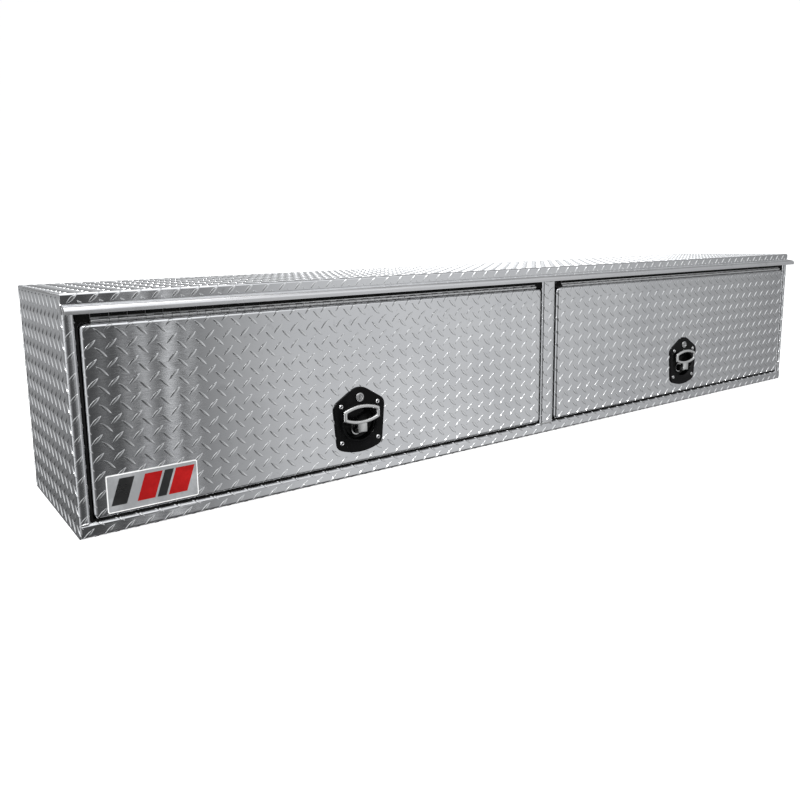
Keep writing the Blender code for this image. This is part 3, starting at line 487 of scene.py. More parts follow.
def filleted(corners, steps=8):
    """Outline through corners (u, v, radius) with rounded corners."""
    points = []
    count = len(corners)
    for i in range(count):
        before = Vector(corners[i - 1][:2])
        here = Vector(corners[i][:2])
        after = Vector(corners[(i + 1) % count][:2])
        radius = corners[i][2]
        a, b = (before - here).normalized(), (after - here).normalized()
        angle = math.acos(max(-1.0, min(1.0, a.dot(b))))
        if radius <= 0 or angle > math.pi - 1e-3:
            points.append(tuple(here))
            continue
        reach = radius / math.tan(angle / 2)
        centre = here + (a + b).normalized() * (radius / math.sin(angle / 2))
        first = here + a * reach - centre
        turn = math.pi - angle
        way = 1.0 if a.x * b.y - a.y * b.x < 0 else -1.0
        for k in range(steps + 1):
            spoke = Vector(first)
            spoke.rotate(Matrix.Rotation(way * turn * k / steps, 2))
            points.append(tuple(centre + spoke))
    return points


def polar(outline, centre, steps):
    """Points of a closed outline in evenly spread directions from a centre inside it."""
    ends = np.array(outline) - centre
    edges = np.roll(ends, -1, axis=0) - ends
    found = []
    for angle in around(steps, 0.5):
        ray = np.array((math.cos(angle), math.sin(angle)))
        cross = ray[0] * edges[:, 1] - ray[1] * edges[:, 0]
        cross[abs(cross) < 1e-12] = np.inf
        reach = (ends[:, 0] * edges[:, 1] - ends[:, 1] * edges[:, 0]) / cross
        part = (ends[:, 0] * ray[1] - ends[:, 1] * ray[0]) / cross
        found.append(tuple(centre + ray * reach[(part >= -1e-9) & (part <= 1 + 1e-9)].max()))
    return found


# ---- tread pattern


class Strip:
    """Visible face of a folded sheet, measured along its section: corners with the sheet on their left."""

    def __init__(self, corners, bend):
        points, normals, steps = [], [], 10
        corners = [Vector(c) for c in corners]
        for i, corner in enumerate(corners):
            ahead = (corners[min(i + 1, len(corners) - 1)] - corner).normalized()
            behind = (corner - corners[max(i - 1, 0)]).normalized()
            if i in (0, len(corners) - 1):
                way = ahead if i == 0 else behind
                points.append(corner)
                normals.append(Vector((way.y, -way.x)))
                continue
            turn = math.atan2(behind.x * ahead.y - behind.y * ahead.x, behind.dot(ahead))
            side = math.copysign(1.0, turn)
            radius = bend if side > 0 else bend - SHEET
            left = Vector((-behind.y, behind.x))
            centre = corner - behind * radius * math.tan(abs(turn) / 2) + left * side * radius
            for k in range(steps + 1):
                spoke = -left * side
                spoke.rotate(Matrix.Rotation(turn * k / steps, 2))
                points.append(centre + spoke * radius)
                normals.append(spoke * side)
        self.points = np.array([tuple(p) for p in points])
        self.normals = np.array([tuple(n) for n in normals])
        steps_long = np.linalg.norm(np.diff(self.points, axis=0), axis=1)
        self.at = np.concatenate([[0.0], np.cumsum(steps_long)])

    def long(self, u, v):
        """Distance along the strip of its nearest place to a point."""
        fine = np.linspace(0.0, self.at[-1], 4001)
        return float(fine[np.linalg.norm(self.spot(fine, 0 * fine) - (u, v), axis=1).argmin()])

    def spot(self, s, height):
        p = np.stack([np.interp(s, self.at, self.points[:, k]) for k in (0, 1)], 1)
        n = np.stack([np.interp(s, self.at, self.normals[:, k]) for k in (0, 1)], 1)
        n /= np.linalg.norm(n, axis=1)[:, None]
        return p + n * height[:, None]


def lozenge(fine):
    """Pointed raised lozenge lying along X: rows of points across its back, between two tips."""
    stations = (-0.84, -0.52, -0.17, 0.17, 0.52, 0.84) if fine else (-0.72, 0.0, 0.72)
    rows_across = ((-1, 0), (-0.68, 0.78), (0, 1), (0.68, 0.78), (1, 0)) if fine else ((-1, 0), (0, 1), (1, 0))
    points = [(-LOZENGE_LONG / 2, 0.0, -SUNK)]
    for u in stations:
        wide = LOZENGE_WIDE / 2 * (1 - abs(u) ** 1.7)
        high = LOZENGE_HIGH * (1 - abs(u) ** 2.6) ** 0.8
        for share, lift in rows_across:
            points.append((u * LOZENGE_LONG / 2, share * wide, lift * high if lift else -SUNK))
    points.append((LOZENGE_LONG / 2, 0.0, -SUNK))
    width = len(rows_across)
    rows = [list(range(1 + width * k, 1 + width * (k + 1))) for k in range(len(stations))]
    faces = []
    for a, b in zip(rows, rows[1:]):
        faces += [[a[i], b[i], b[(i + 1) % width], a[(i + 1) % width]] for i in range(width)]
    tip = len(points) - 1
    for i in range(width):
        faces.append([0, rows[0][i], rows[0][(i + 1) % width]])
        faces.append([tip, rows[-1][(i + 1) % width], rows[-1][i]])
    return np.array(points), faces


def tread(name, body, across, up, place, phase, skip=None, mirror=False, fine=True, rolled_up=False):
    """Rolled lozenges over a flat range (across, up), cut at its edges, then bent on to the sheet by place.

    rolled_up turns the pattern by a quarter, for sheets whose rolling lines stand upright.
    """
    shape, faces = lozenge(fine)
    reach = LOZENGE_LONG / 2
    points, all_faces = [], []
    flip = -1 if mirror else 1
    other = (0.5, 0.5 + flip * (OTHER_RISE - 0.5))
    pitch, tilt = (PITCH_H, PITCH_V), LOZENGE_TILT
    if rolled_up:
        other, pitch, tilt = other[::-1], pitch[::-1], math.pi / 2 - tilt
    for lean, shift, rise in ((flip, 0.0, 0.0), (-flip, *other)):
        c, s = math.cos(tilt), math.sin(tilt) * lean
        leaning = shape @ np.array(((c, s, 0), (-s, c, 0), (0, 0, 1)))
        first = math.floor((across[0] - phase[0]) / pitch[0]) - 1
        last = math.ceil((across[1] - phase[0]) / pitch[0]) + 1
        low = math.floor((up[0] - phase[1]) / pitch[1]) - 1
        high = math.ceil((up[1] - phase[1]) / pitch[1]) + 1
        for i in range(first, last + 1):
            for j in range(low, high + 1):
                h = (i + shift) * pitch[0] + phase[0]
                v = (j + rise) * pitch[1] + phase[1]
                outside = max(across[0] - h, h - across[1], up[0] - v, v - up[1])
                if outside > 0.7 * reach or (skip and skip(h, v)):
                    continue
                base = len(points) * len(shape)
                points.append(leaning + (h, v, 0.0))
                all_faces += [[base + k for k in face] for face in faces]
    mesh = bpy.data.meshes.new(name)
    mesh.from_pydata(np.concatenate(points).tolist(), [], all_faces)
    bm = bmesh.new()
    bm.from_mesh(mesh)
    cuts = ((across[0], 0), (-1, 0)), ((across[1], 0), (1, 0)), ((0, up[0]), (0, -1)), ((0, up[1]), (0, 1))
    for spot, way in cuts:
        geometry = bm.verts[:] + bm.edges[:] + bm.faces[:]
        bmesh.ops.bisect_plane(bm, geom=geometry, plane_co=(*spot, 0), plane_no=(*way, 0), clear_outer=True)
        open_edges = [e for e in bm.edges if len(e.link_faces) == 1]
        bmesh.ops.holes_fill(bm, edges=open_edges, sides=0)
    flat = np.array([tuple(v.co) for v in bm.verts])
    for vert, at in zip(bm.verts, place(*flat.T)):
        vert.co = at
    bmesh.ops.recalc_face_normals(bm, faces=bm.faces[:])
    bm.to_mesh(mesh)
    bm.free()
    placed(name, mesh, "tread", body, sharp=27)


def upright(strip, way):
    """Placing on a sheet with upright folds, mirrored in X if way is -1."""

    def place(h, v, e):
        at = strip.spot(h, e)
        return np.stack([way * at[:, 0], FRONT + at[:, 1], v], 1)

    return place


def tread_on_shell():
    edge = 0.0015
    cover = Strip([(DEPTH, HEIGHT - BACK_FLANGE), (DEPTH, HEIGHT), (0, HEIGHT), (0, FLANGE_LOW)], COVER_BEND)

    def on_cover(h, v, e):
        at = cover.spot(v, e)
        return np.stack([h, FRONT + at[:, 0], at[:, 1]], 1)

    reach = (-HALF + edge, HALF - edge)
    end = cover.at[-1]
    phase = (COVER_LOZENGE[0], end - COVER_LOZENGE[1])
    tread("tread_top_cover", "box", reach, (edge, end - edge), on_cover, phase, mirror=True)
    floor = Strip([(LIP_DEPTH, RAIL), (0, RAIL), (0, 0), (DEPTH - 0.006, 0)], BEND)
    pan_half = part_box("bottom_pan")[1].x

    def on_floor(h, v, e):
        at = floor.spot(v, np.minimum(e, LOZENGE_HIGH))
        return np.stack([h, FRONT + at[:, 0], np.maximum(at[:, 1], -LOZENGE_HIGH)], 1)

    reach = (-pan_half + edge, pan_half - edge)
    under = floor.long(0.03, 0.0)
    start = LIP_DEPTH - 0.01
    phase = (RAIL_LOZENGE[0], floor.long(0, RAIL_LOZENGE[1]))
    tread("tread_bottom_rail", "box", reach, (start, under), on_floor, phase, mirror=True)
    tread("tread_underside", "box", reach, (under, floor.at[-1] - edge), on_floor, phase, mirror=True, fine=False)

    def on_back(h, v, e):
        return np.stack([h, np.full_like(h, BACK_FACE) + e, v], 1)

    reach = (-HALF + 0.028, HALF - 0.028)
    tread("tread_back_panel", "box", reach, (edge, HEIGHT - BACK_FLANGE - edge), on_back, (0.0, 0.0), fine=False)
    inner = HALF - STILE
    wrap = Strip([(-HALF + BACK_FLANGE, DEPTH), (-HALF, DEPTH), (-HALF, 0), (-inner, 0), (-inner, LIP_DEPTH)], BEND)
    end = wrap.long(-inner, 0.004)
    corner = wrap.long(-HALF + BEND, 0.0) - 0.0035
    phase = (wrap.long(STILE_LOZENGE[0], 0.0), STILE_LOZENGE[1])
    for side, name in SIDES.items():
        place = upright(wrap, -side)
        for part, across, up in (
            ("side", (edge, corner), (edge, HEIGHT - 0.0065)),
            ("stile", (corner, end), (RAIL + 0.003, FLANGE_LOW - 0.017)),
        ):
            tread(f"tread_{part}_{name}", "box", across, up, place, phase, mirror=side > 0, rolled_up=True)
    post = Strip([(-POST_HALF, LIP_DEPTH), (-POST_HALF, 0), (POST_HALF, 0), (POST_HALF, LIP_DEPTH)], BEND)
    centre = post.at[-1] / 2
    across = (centre - POST_HALF - 0.003, centre + POST_HALF + 0.003)
    phase = (post.long(POST_LOZENGE[0], 0.0), POST_LOZENGE[1])
    tread("tread_centre_post", "box", across, (RAIL + 0.004, DOOR_TOP + 0.012), upright(post, 1), phase)


def tread_on_door(name):
    low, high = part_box(f"door_skin_{name}")
    x_latch = (low.x + high.x) / 2
    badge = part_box("badge_plate")

    def on_door(h, v, e):
        drop = np.zeros_like(h)
        for inset in (h - low.x, high.x - h, v - DOOR_LOW, DOOR_TOP - v):
            near = np.clip(BEND - inset, 0.0, BEND)
            drop += BEND - np.sqrt(BEND**2 - near**2)
        return np.stack([h, DOOR_FACE + drop - e, v], 1)

    def skip(h, v):
        hidden = ((h - x_latch) / 0.0565) ** 2 + ((v - DISH_Z) / 0.052) ** 2 < 1
        under_lock = math.hypot(h - x_latch, v - LOCK_Z) < 0.012
        in_badge = badge[0].x + 0.004 < h < badge[1].x - 0.004 and badge[0].z + 0.004 < v < badge[1].z - 0.004
        return hidden or under_lock or in_badge

    edge = 0.0012
    across, up = (low.x + edge, high.x - edge), (DOOR_LOW + edge, DOOR_TOP - edge)
    tread(f"tread_door_{name}", f"door_{name}", across, up, on_door, DOOR_LOZENGE[name], skip)


# ---- latch


def plate_outline(inset):
    half = 0.063 - inset
    foot = 0.0548 - inset
    return [
        (0.0, 0.0735 - inset * 1.17, 0.038),
        (-half, 0.035 - inset * 0.5, 0.018),
        (-foot, -0.0565 + inset * 0.8, 0.017),
        (0.0, -0.0745 + inset * 1.06, 0.125),
        (foot, -0.0565 + inset * 0.8, 0.017),
        (half, 0.035 - inset * 0.5, 0.018),
    ]


def latch_plate(name, x):
    """Pressed plate with rolled edges, a round finger dish with a raised rim, and a boss for the spindle."""
    steps = 120
    centre = (0.0, DISH_Z - LATCH_Z)
    round_edge = 0.0011

    def edge(inset, depth):
        outline = polar(filleted(plate_outline(inset)), centre, steps)
        return [(x + u, FRONT + depth, LATCH_Z + v) for u, v in outline]

    def oval(wide, tall, depth, shift=0.0):
        middle = DISH_Z + shift
        return [(x + wide * math.cos(a), FRONT + depth, middle + tall * math.sin(a)) for a in around(steps, 0.5)]

    def circle(radius, depth, shift=0.0):
        return oval(radius, radius, depth, shift)

    drop = SPINDLE_Z - DISH_Z
    hole = SPINDLE_R + 0.0005
    front = PLATE_FRONT
    wide, tall = 0.041, 0.0366
    rim = 0.0009
    loops = [edge(0.0004, PLATE_BACK)]
    loops += [edge(round_edge * (1 - math.cos(a)), front + round_edge * (1 - math.sin(a))) for a in arc(4, 0, 90)]
    loops += [edge(0.0035, front), oval(wide + 0.004, tall + 0.004, front)]
    for a in arc(6, 25, 90):
        out = 0.0016 + 0.0018 * math.cos(a)
        loops.append(oval(wide + out, tall + out, front - rim * math.sin(a)))
    for a in arc(5, 15, 90):
        depth = front - rim + 0.0026 * (1 - math.cos(a))
        loops.append(oval(wide + 0.0016 - 0.0026 * math.sin(a), tall + 0.0016 - 0.0022 * math.sin(a), depth))
    loops += [oval(0.0365, 0.0348, DISH_FLOOR - 0.005), oval(0.035, 0.034, DISH_FLOOR - 0.003)]
    loops += [circle(0.0325 - 0.002 * k, DISH_FLOOR - 0.003 * (1 - k / 2) ** 2) for k in (0.6, 1.2, 2.0)]
    floor = [(0.0155, 0), (0.0142, -0.0004), (0.0136, -0.0012), (0.0128, -0.0015)]
    floor += [(hole + 0.0004, -0.0015), (hole, -0.0011), (hole, 0.0013)]
    loops += [circle(radius, DISH_FLOOR + depth, drop) for radius, depth in floor]
    loops += [circle(DISH_R - 0.003, DISH_FLOOR + 0.0013), circle(DISH_R + 0.0008, DISH_FLOOR - 0.002)]
    loops.append(circle(DISH_R + 0.001, PLATE_BACK))
    dish = loft(loops, ring=True)
    piece(f"latch_dish_{name}", dish, "black", f"door_{name}", [f"latch_plate_{name}"], 35)
    collar = ((0.0012, -0.0016), (0.0014, -0.0026), (0.0038, -0.0026), (0.0042, -0.0016))
    washer = turned([(SPINDLE_R + r, d) for r, d in collar], (x, SPINDLE_Z), ring=True, base=DISH_FLOOR)
    piece(f"spindle_washer_{name}", washer, "chrome", f"door_{name}", sharp=35)


# Rivet parts and lock face as (radius, depth past the face they sit on)
RIVET_DOME = [(0.0021, -0.0004), (0.0022, -0.0013), (0.0026, -0.0017), (0.0034, -0.0015), (0.0042, -0.0009)]
RIVET_DOME += [(0.0047, -0.0002), (0.0046, 0.0), (0.0021, 0.0), (0.0021, 0.0038 - PLATE_FRONT)]
# Disc 1 mm down each rivet's hole: the mandrel, coloured near black as painted shade of the hollow
RIVET_PIN = [(0.0012, -0.0007), (0.0018, -0.0006), (0.00205, -0.0004), (0.00205, -0.0002)]
LOCK_FACE = [(0.0055, 0.0006), (0.0059, 0.0001), (0.0078, 0.0), (0.0088, 0.0002), (0.0094, 0.0008), (0.0095, 0.0014)]
LOCK_FACE += [(0.0095, 0.0027), (0.008, 0.0027), (0.008, 0.0155 - PLATE_FRONT), (0.0055, 0.0155 - PLATE_FRONT)]


def rivets(name, x):
    heads, dark_centres = [], []
    face = PLATE_FRONT - 0.0002
    for z in (-RIVET_Z, RIVET_Z):
        for u in (-RIVET_X, RIVET_X):
            centre = (x + u, DISH_Z + z)
            heads.append(turned(RIVET_DOME, centre, steps=28, base=face))
            dark_centres.append(turned(RIVET_PIN, centre, steps=16, base=face))
    nodes = [f"latch_rivet_{k}_{name}" for k in range(1, 5)]
    piece(f"rivets_{name}", joined(heads), "rivet", f"door_{name}", nodes, 60)
    # Near-black centres: the mandrels, with painted shade of the rivets' hollows
    piece(f"rivet_mandrels_{name}", joined(dark_centres), "mandrel", f"door_{name}")


def lock_housing(name, x):
    housing = turned(LOCK_FACE, (x, LOCK_Z), ring=True, base=PLATE_FRONT - 0.003)
    piece(f"lock_housing_{name}", housing, "lock", f"door_{name}", [f"lock_cylinder_{name}"], 40)


def spindle(name, x):
    shaft = [(SPINDLE_R - 0.0016, 0.001), (SPINDLE_R - 0.0006, 0.0012), (SPINDLE_R, 0.002), (SPINDLE_R, 0.0165)]
    shaft += [(0.006, 0.0165), (0.006, 0.0298)]
    nose = [(FOLD_D + 0.005 * math.cos(a), SPINDLE_Z + 0.005 * math.sin(a)) for a in arc(14, 90, 270)]
    outline = nose + [(0.0035, SPINDLE_Z - 0.005), (0.0035, SPINDLE_Z + 0.005)]
    tongue = prism(outline, "X", x - TONGUE_HALF, x + TONGUE_HALF, 0.0006)
    shape = joined([turned(shaft, (x, SPINDLE_Z), steps=40), tongue])
    piece(f"spindle_head_{name}", shape, "black", f"handle_{name}", [f"spindle_{name}"], 40)


def ring_outline(inset, x):
    """Bowed ring: arcs above and below, short upright ends."""
    radius = (RING_WIDE**2 + (RING_TALL - RING_END) ** 2) / (2 * (RING_TALL - RING_END))
    centre = RING_TALL - radius
    half = RING_WIDE - inset
    reach = math.asin((half - 0.0042) / (radius - inset))
    corner = centre + math.sqrt((radius - inset) ** 2 - half**2)
    angles = [reach - 2 * reach * k / 16 for k in range(17)]
    bow = [((radius - inset) * math.sin(a), centre + (radius - inset) * math.cos(a), 0) for a in angles]
    upper = [(half, corner, 0.003)] + bow + [(-half, corner, 0.003)]
    lower = [(u, -v, r) for u, v, r in upper[::-1]]
    return [(x + u, RING_Z + v) for u, v in filleted(upper + lower, 6)]


def ring_handle(name, x):
    """Pull ring of rounded section on a forked yoke."""
    half = RING_THICK / 2
    soft = 0.0026
    section = []
    corners = (RING_BAR - soft, half - soft), (soft, half - soft), (soft, soft - half), (RING_BAR - soft, soft - half)
    for k, (u, v) in enumerate(corners):
        section += [(u + soft * math.cos(a), RING_D + v + soft * math.sin(a)) for a in arc(4, 90 * k, 90 * k + 90)]
    loops = [[(u, FRONT + d, v) for u, v in ring_outline(inset, x)] for inset, d in section]
    shapes = [loft(loops, ring=True)]
    yoke = [(FOLD_D + YOKE_R * math.cos(a), SPINDLE_Z + YOKE_R * math.sin(a)) for a in arc(12, 90, -90)]
    front, back = RING_D - half + 0.0008, RING_D + half - 0.001
    top = RING_Z - RING_TALL + 0.004
    cheek = yoke + [(front + 0.0015, SPINDLE_Z - YOKE_R), (front, SPINDLE_Z - YOKE_R + 0.0015), (front, top)]
    cheek += [(back, top), (back, SPINDLE_Z + YOKE_R)]
    slot = TONGUE_HALF + 0.0003
    for low, high in ((-STEM_HALF, -slot), (slot, STEM_HALF)):
        shapes.append(prism(cheek, "X", x + low, x + high, 0.0005))
    bridge = [(front, SPINDLE_Z + 0.009), (front, top), (back, top), (back, SPINDLE_Z + 0.009)]
    shapes.append(prism(bridge, "X", x - slot - 0.001, x + slot + 0.001))
    wide = STEM_HALF - 0.0004
    face = (front - 0.0003, front + 0.002)
    shapes.append(block((x - wide, x + wide), face, (SPINDLE_Z - 0.003, top), 0.0006))
    shoulder = [(x - STEM_HALF, top - 0.003), (x - 0.0145, top + 0.0012)]
    shoulder += [(x + 0.0145, top + 0.0012), (x + STEM_HALF, top - 0.003)]
    shapes.append(prism(shoulder, "Y", front + 0.0004, back + 0.0004, 0.0006))
    piece(f"pull_ring_{name}", joined(shapes), "chrome", f"ring_{name}", [f"ring_handle_{name}"], 42)


# ---- hinge, struts, welds, badge


# Per half: its first knuckle, then depths and heights from the pin of its tabs and of its leaf
HINGE_HALVES = {
    "frame": (0, (0.0015, 0.0027), (0.0012, 0.004), (0.0015, 0.0027), (0.0036, 0.0258)),
    "door": (1, (0.0012, 0.004), (-0.0027, -0.0015), (0.0036, 0.0155), (-0.0027, -0.0015)),
}


def piano_hinge(name):
    low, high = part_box(f"hinge_door_leaf_{name}")
    pitch = (high.x - low.x) / KNUCKLES

    def strip(x, d, z, bevel=0.0):
        return block(x, [HINGE_D + v for v in d], [HINGE_Z + v for v in z], bevel)

    for half, (first, tab_d, tab_z, leaf_d, leaf_z) in HINGE_HALVES.items():
        shapes = []
        for k in range(first, KNUCKLES, 2):
            start, end = low.x + k * pitch + 0.0004, low.x + (k + 1) * pitch - 0.0004
            tube = [(0.0015, start), (KNUCKLE_R - 0.0004, start), (KNUCKLE_R, start + 0.0004)]
            tube += [(KNUCKLE_R, end - 0.0004), (KNUCKLE_R - 0.0004, end), (0.0015, end)]
            shapes.append(turned(tube, (HINGE_D, HINGE_Z), "X", 14, ring=True))
            shapes.append(strip((start, end), tab_d, tab_z))
        shapes.append(strip((low.x, high.x), leaf_d, leaf_z, 0.0002))
        body = "box" if half == "frame" else f"door_{name}"
        leaf = f"hinge_{half}_leaf_{name}"
        piece(f"hinge_{half}_half_{name}", joined(shapes), "barrel", body, [leaf], 35)


def gap_shade_strips(name):
    """Near-black strips in the gap round the door, with a fill at the two top corners beside the hinge: painted shade
    for the shadow in the gap, shaped as rubber edging.
    """
    low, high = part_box(f"door_skin_{name}")
    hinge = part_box(f"hinge_pin_{name}")
    open_low, open_high = low.x - 0.0052, high.x + 0.0052
    foot = RAIL + 0.0003
    wide, depth = 0.0041, (0.0045, 0.0262)
    corner_d, corner_z = (0.0042, 0.0056), (DOOR_TOP + 0.0012, GAP_SHADE_TOP)
    shapes = [
        block((open_low, open_low + wide), depth, (foot, GAP_SHADE_TOP), 0.0008),
        block((open_high - wide, open_high), depth, (foot, GAP_SHADE_TOP), 0.0008),
        block((open_low + 0.0042, open_high - 0.0042), depth, (foot, RAIL + 0.004), 0.0008),
        block((open_low + 0.0042, hinge[0].x - 0.001), corner_d, corner_z),
        block((hinge[1].x + 0.001, open_high - 0.0042), corner_d, corner_z),
    ]
    # Near-black strips set in the gap: painted shade for its shadow
    piece(f"gap_painted_shade_{name}", joined(shapes), "rubber", "box", sharp=40)
    # Near-black pads under the drip rail, spaced like the hinge knuckles: painted shade for the rail's shadow line,
    # not a real part
    shade_pads = []
    count = 34
    pitch = (hinge[1].x - hinge[0].x) / count
    for k in range(count):
        start = hinge[0].x + k * pitch
        shade_pads.append(block((start + 0.0006, start + pitch - 0.0006), (0.0022, 0.0039), (0.3655, 0.3745), 0.0003))
    piece(f"hinge_painted_shade_strip_{name}", joined(shade_pads), "rubber", "box", sharp=40)


def gutter():
    """Drip rail with a rounded nose and a turned-down lip."""
    low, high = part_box("drip_rail")
    top = FLANGE_LOW - 0.0004
    reach = low.y - FRONT
    inner = 0.0016
    nose = 0.0085
    skin = [(0.003, high.z - 0.016), (0.003, top - 0.004)]
    skin += [(0.003 - 0.0035 * (1 - math.cos(a)), top - 0.0035 * (1 - math.sin(a))) for a in arc(5, 0, 90)]
    fall = top - 0.0021
    centre = (reach + nose, fall - nose)
    skin += [(centre[0] - nose * math.sin(a), centre[1] + nose * math.cos(a)) for a in arc(10, 8, 84)]
    skin.append((reach, fall - 0.0128))
    outer = [Vector(p) for p in skin]
    under = []
    for k, point in enumerate(outer):
        ahead = (outer[min(k + 1, len(outer) - 1)] - outer[max(k - 1, 0)]).normalized()
        under.append(point + Vector((-ahead.y, ahead.x)) * inner)
    outline = [tuple(p) for p in outer] + [tuple(p) for p in under[::-1]]
    rail = prism(outline, "X", low.x, high.x)
    piece("drip_rail_skin", rail, "smooth", "box", ["drip_rail"], 40)


# Ball socket as (radius, distance along X) and its stem as (radius, distance along the strut)
SOCKET = [(0.0052, -0.007), (0.0068, -0.0058), (0.007, -0.005)]
SOCKET += [(0.007, 0.005), (0.0068, 0.0058), (0.0052, 0.007)]
SOCKET_STEM = [(0.0055, 0.003), (0.0057, 0.0085), (0.005, 0.0105), (0.005, 0.017)]


def gas_strut(side):
    name = SIDES[side]
    x = side * STRUT_X
    start = Vector((x, FRONT + STRUT_FRAME[0], STRUT_FRAME[1]))
    end = Vector((x, FRONT + STRUT_DOOR[0], STRUT_DOOR[1]))
    long = (end - start).length
    nose = long - 0.026
    tube = [(0.0052, 0.016), (0.0066, 0.0165), (0.0084, 0.019), (0.009, 0.0215), (0.009, nose - 0.0075)]
    tube += [(0.0086, nose - 0.0068), (0.0086, nose - 0.0056), (0.009, nose - 0.0048), (0.0089, nose - 0.0018)]
    tube += [(0.0078, nose - 0.0003), (0.0046, nose), (0.0046, nose - 0.003)]
    cylinder, rod = f"strut_cylinder_{name}", f"strut_rod_{name}"
    piece(f"strut_tube_{name}", along(start, end, tube), "strut", cylinder, [cylinder], 40)
    ahead = (end - start).normalized()
    for where, at, way, body, slot in (
        ("frame", start, ahead, cylinder, "strut_paint"),
        ("door", end, -ahead, rod, "zinc_steel"),
    ):
        socket = turned(SOCKET, (at.y - FRONT, at.z), "X", 32, base=x)
        stem = along(at, at + way * 0.02, SOCKET_STEM, 24)
        piece(f"strut_socket_{where}_{name}", joined([socket, stem]), "socket", body, sharp=40)
    shaft = along(start, end, [(0.004, nose - 0.03), (0.004, long - 0.012)])
    piece(f"strut_piston_rod_{name}", shaft, "rod", rod, [rod], 40)


def bead(start, end, radius):
    """Straight weld bead: overlapping ripples of a slightly wandering width."""
    start, end = Vector(start), Vector(end)
    way = (end - start).normalized()
    total = (end - start).length
    ripple = 0.0026
    side = way.cross(Vector((0, 0, 1)) if abs(way.z) < 0.9 else Vector((0, 1, 0))).normalized()
    up = side.cross(way).normalized()
    count = max(6, int(total / ripple * 4))
    loops = []
    for k in range(count + 1):
        t = k / count
        taper = min(1.0, 5 * min(t, 1 - t) + 0.25)
        wander = 0.12 * math.sin(37.0 * t * total / 0.1)
        size = radius * taper * (1 + wander + 0.16 * math.sin(math.pi * (t * total / ripple % 1.0)))
        centre = start + way * (t * total)
        loop = [size * (math.cos(a) * side + math.sin(a) * up) + way * 0.0006 * math.cos(2 * a) for a in around(10)]
        loops.append([tuple(centre + spoke) for spoke in loop])
    return loft(loops)


def welds():
    seam = RAIL + 0.0002
    face = FRONT + 0.0009
    front, back = FRONT + 0.008, FRONT + DEPTH
    shapes = []
    for side in SIDES:
        inner, outer = side * (HALF - STILE + 0.003), side * (HALF - 0.003)
        top_x, foot_x = side * (HALF - 0.0006), side * (HALF - 0.0016)
        top_z, foot_z = HEIGHT - 0.0032, 0.0014
        lip, flange = FRONT + 0.0012, FRONT + 0.001
        shapes += [
            bead((inner, face, seam), (outer, face, seam), 0.0022),
            bead((outer, lip, 0.006), (outer, lip, seam), 0.0013),
            bead((top_x, front, top_z), (top_x, back - 0.008, top_z), 0.0011),
            bead((foot_x, front, foot_z), (foot_x, back - 0.01, foot_z), 0.0011),
            bead((outer, flange, FLANGE_LOW - 0.0135), (outer, flange, FLANGE_LOW - 0.002), 0.001),
        ]
    for half, z, radius in ((POST_HALF - 0.003, seam, 0.0021), (POST_HALF - 0.004, GAP_SHADE_TOP, 0.0012)):
        shapes.append(bead((-half, face, z), (half, face, z), radius))
    piece("weld_beads", joined(shapes), "weld", "box")


def badge():
    """Plain trim plate: grey enamel in a pale border, crossed by slanting black and red stripes."""
    low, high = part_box("badge_plate")
    face = low.y - FRONT

    def panel(inset, d, radius):
        x, z = (low.x + inset, high.x - inset), (low.z + inset, high.z - inset)
        corners = [(x[0], z[0], radius), (x[1], z[0], radius), (x[1], z[1], radius), (x[0], z[1], radius)]
        return prism(filleted(corners, 5), "Y", d[0], d[1])

    def stripe(start, wide):
        lean = 0.016
        z = (low.z + 0.012, high.z - 0.0075)
        points = [(start, z[0]), (start + wide, z[0]), (start + wide + lean, z[1]), (start + lean, z[1])]
        return prism([(low.x + u, v) for u, v in points], "Y", face, face + 0.0003)

    def part(name, look, shapes, replaces=()):
        piece(name, joined(shapes), look, "door_left", replaces, 35)

    part("badge_border", "badge_white", [panel(0.0, (face + 0.0002, high.y - FRONT), 0.003)], ["badge_plate"])
    part("badge_field", "badge", [panel(0.0016, (face + 0.0001, face + 0.0004), 0.002)])
    part("badge_black_stripes", "badge_black", [stripe(0.006, 0.026), stripe(0.085, 0.016)])
    part("badge_red_stripes", "badge_red", [stripe(0.05, 0.031), stripe(0.105, 0.034)])


# ---- light and camera

# Sky brightness by direction, as (degrees from straight out of the doors towards +X, value)
LOW_SKY = (
    (-180, 0.36), (-160, 0.36), (-120, 0.5), (-85, 0.95), (-50, 0.6), (-20, 0.14), (0, 0.07), (12, 0.08),
    (25, 0.38), (29, 0.55), (38, 0.62), (48, 0.54), (57, 0.42), (64, 0.28), (95, 0.2), (118, 0.2), (124, 0.28),
    (130, 0.4), (137, 0.56), (143, 0.62), (149, 0.42), (157, 0.3), (167, 0.34),
)
HIGH_SKY = (
    (-180, 0.38), (-140, 0.42), (-100, 0.6), (-60, 0.9), (-30, 1.0), (0, 1.15), (12, 1.15), (24, 1.0), (34, 0.85),
    (46, 0.75), (60, 0.5), (80, 0.3), (110, 0.22), (140, 0.45), (165, 0.4), (180, 0.38),
)
# Upright stands and curtains in a narrow part of the low sky
STANDS = (12.0, 24.0)
STANDS_SKY = (
    (12.0, 0.07), (14.1, 0.07), (14.35, 0.18), (14.65, 0.22), (14.85, 0.08), (15.9, 0.09), (16.1, 0.34),
    (16.5, 0.3), (16.65, 0.1), (17.0, 0.11), (17.2, 0.44), (17.7, 0.46), (17.85, 0.24), (18.2, 0.24), (18.35, 0.13),
    (18.85, 0.15), (19.0, 0.34), (19.3, 0.6), (19.65, 0.6), (19.8, 0.28), (20.3, 0.17), (20.6, 0.18),
    (20.8, 0.4), (21.1, 0.42), (21.3, 0.2), (22.0, 0.26), (24.0, 0.34),
)


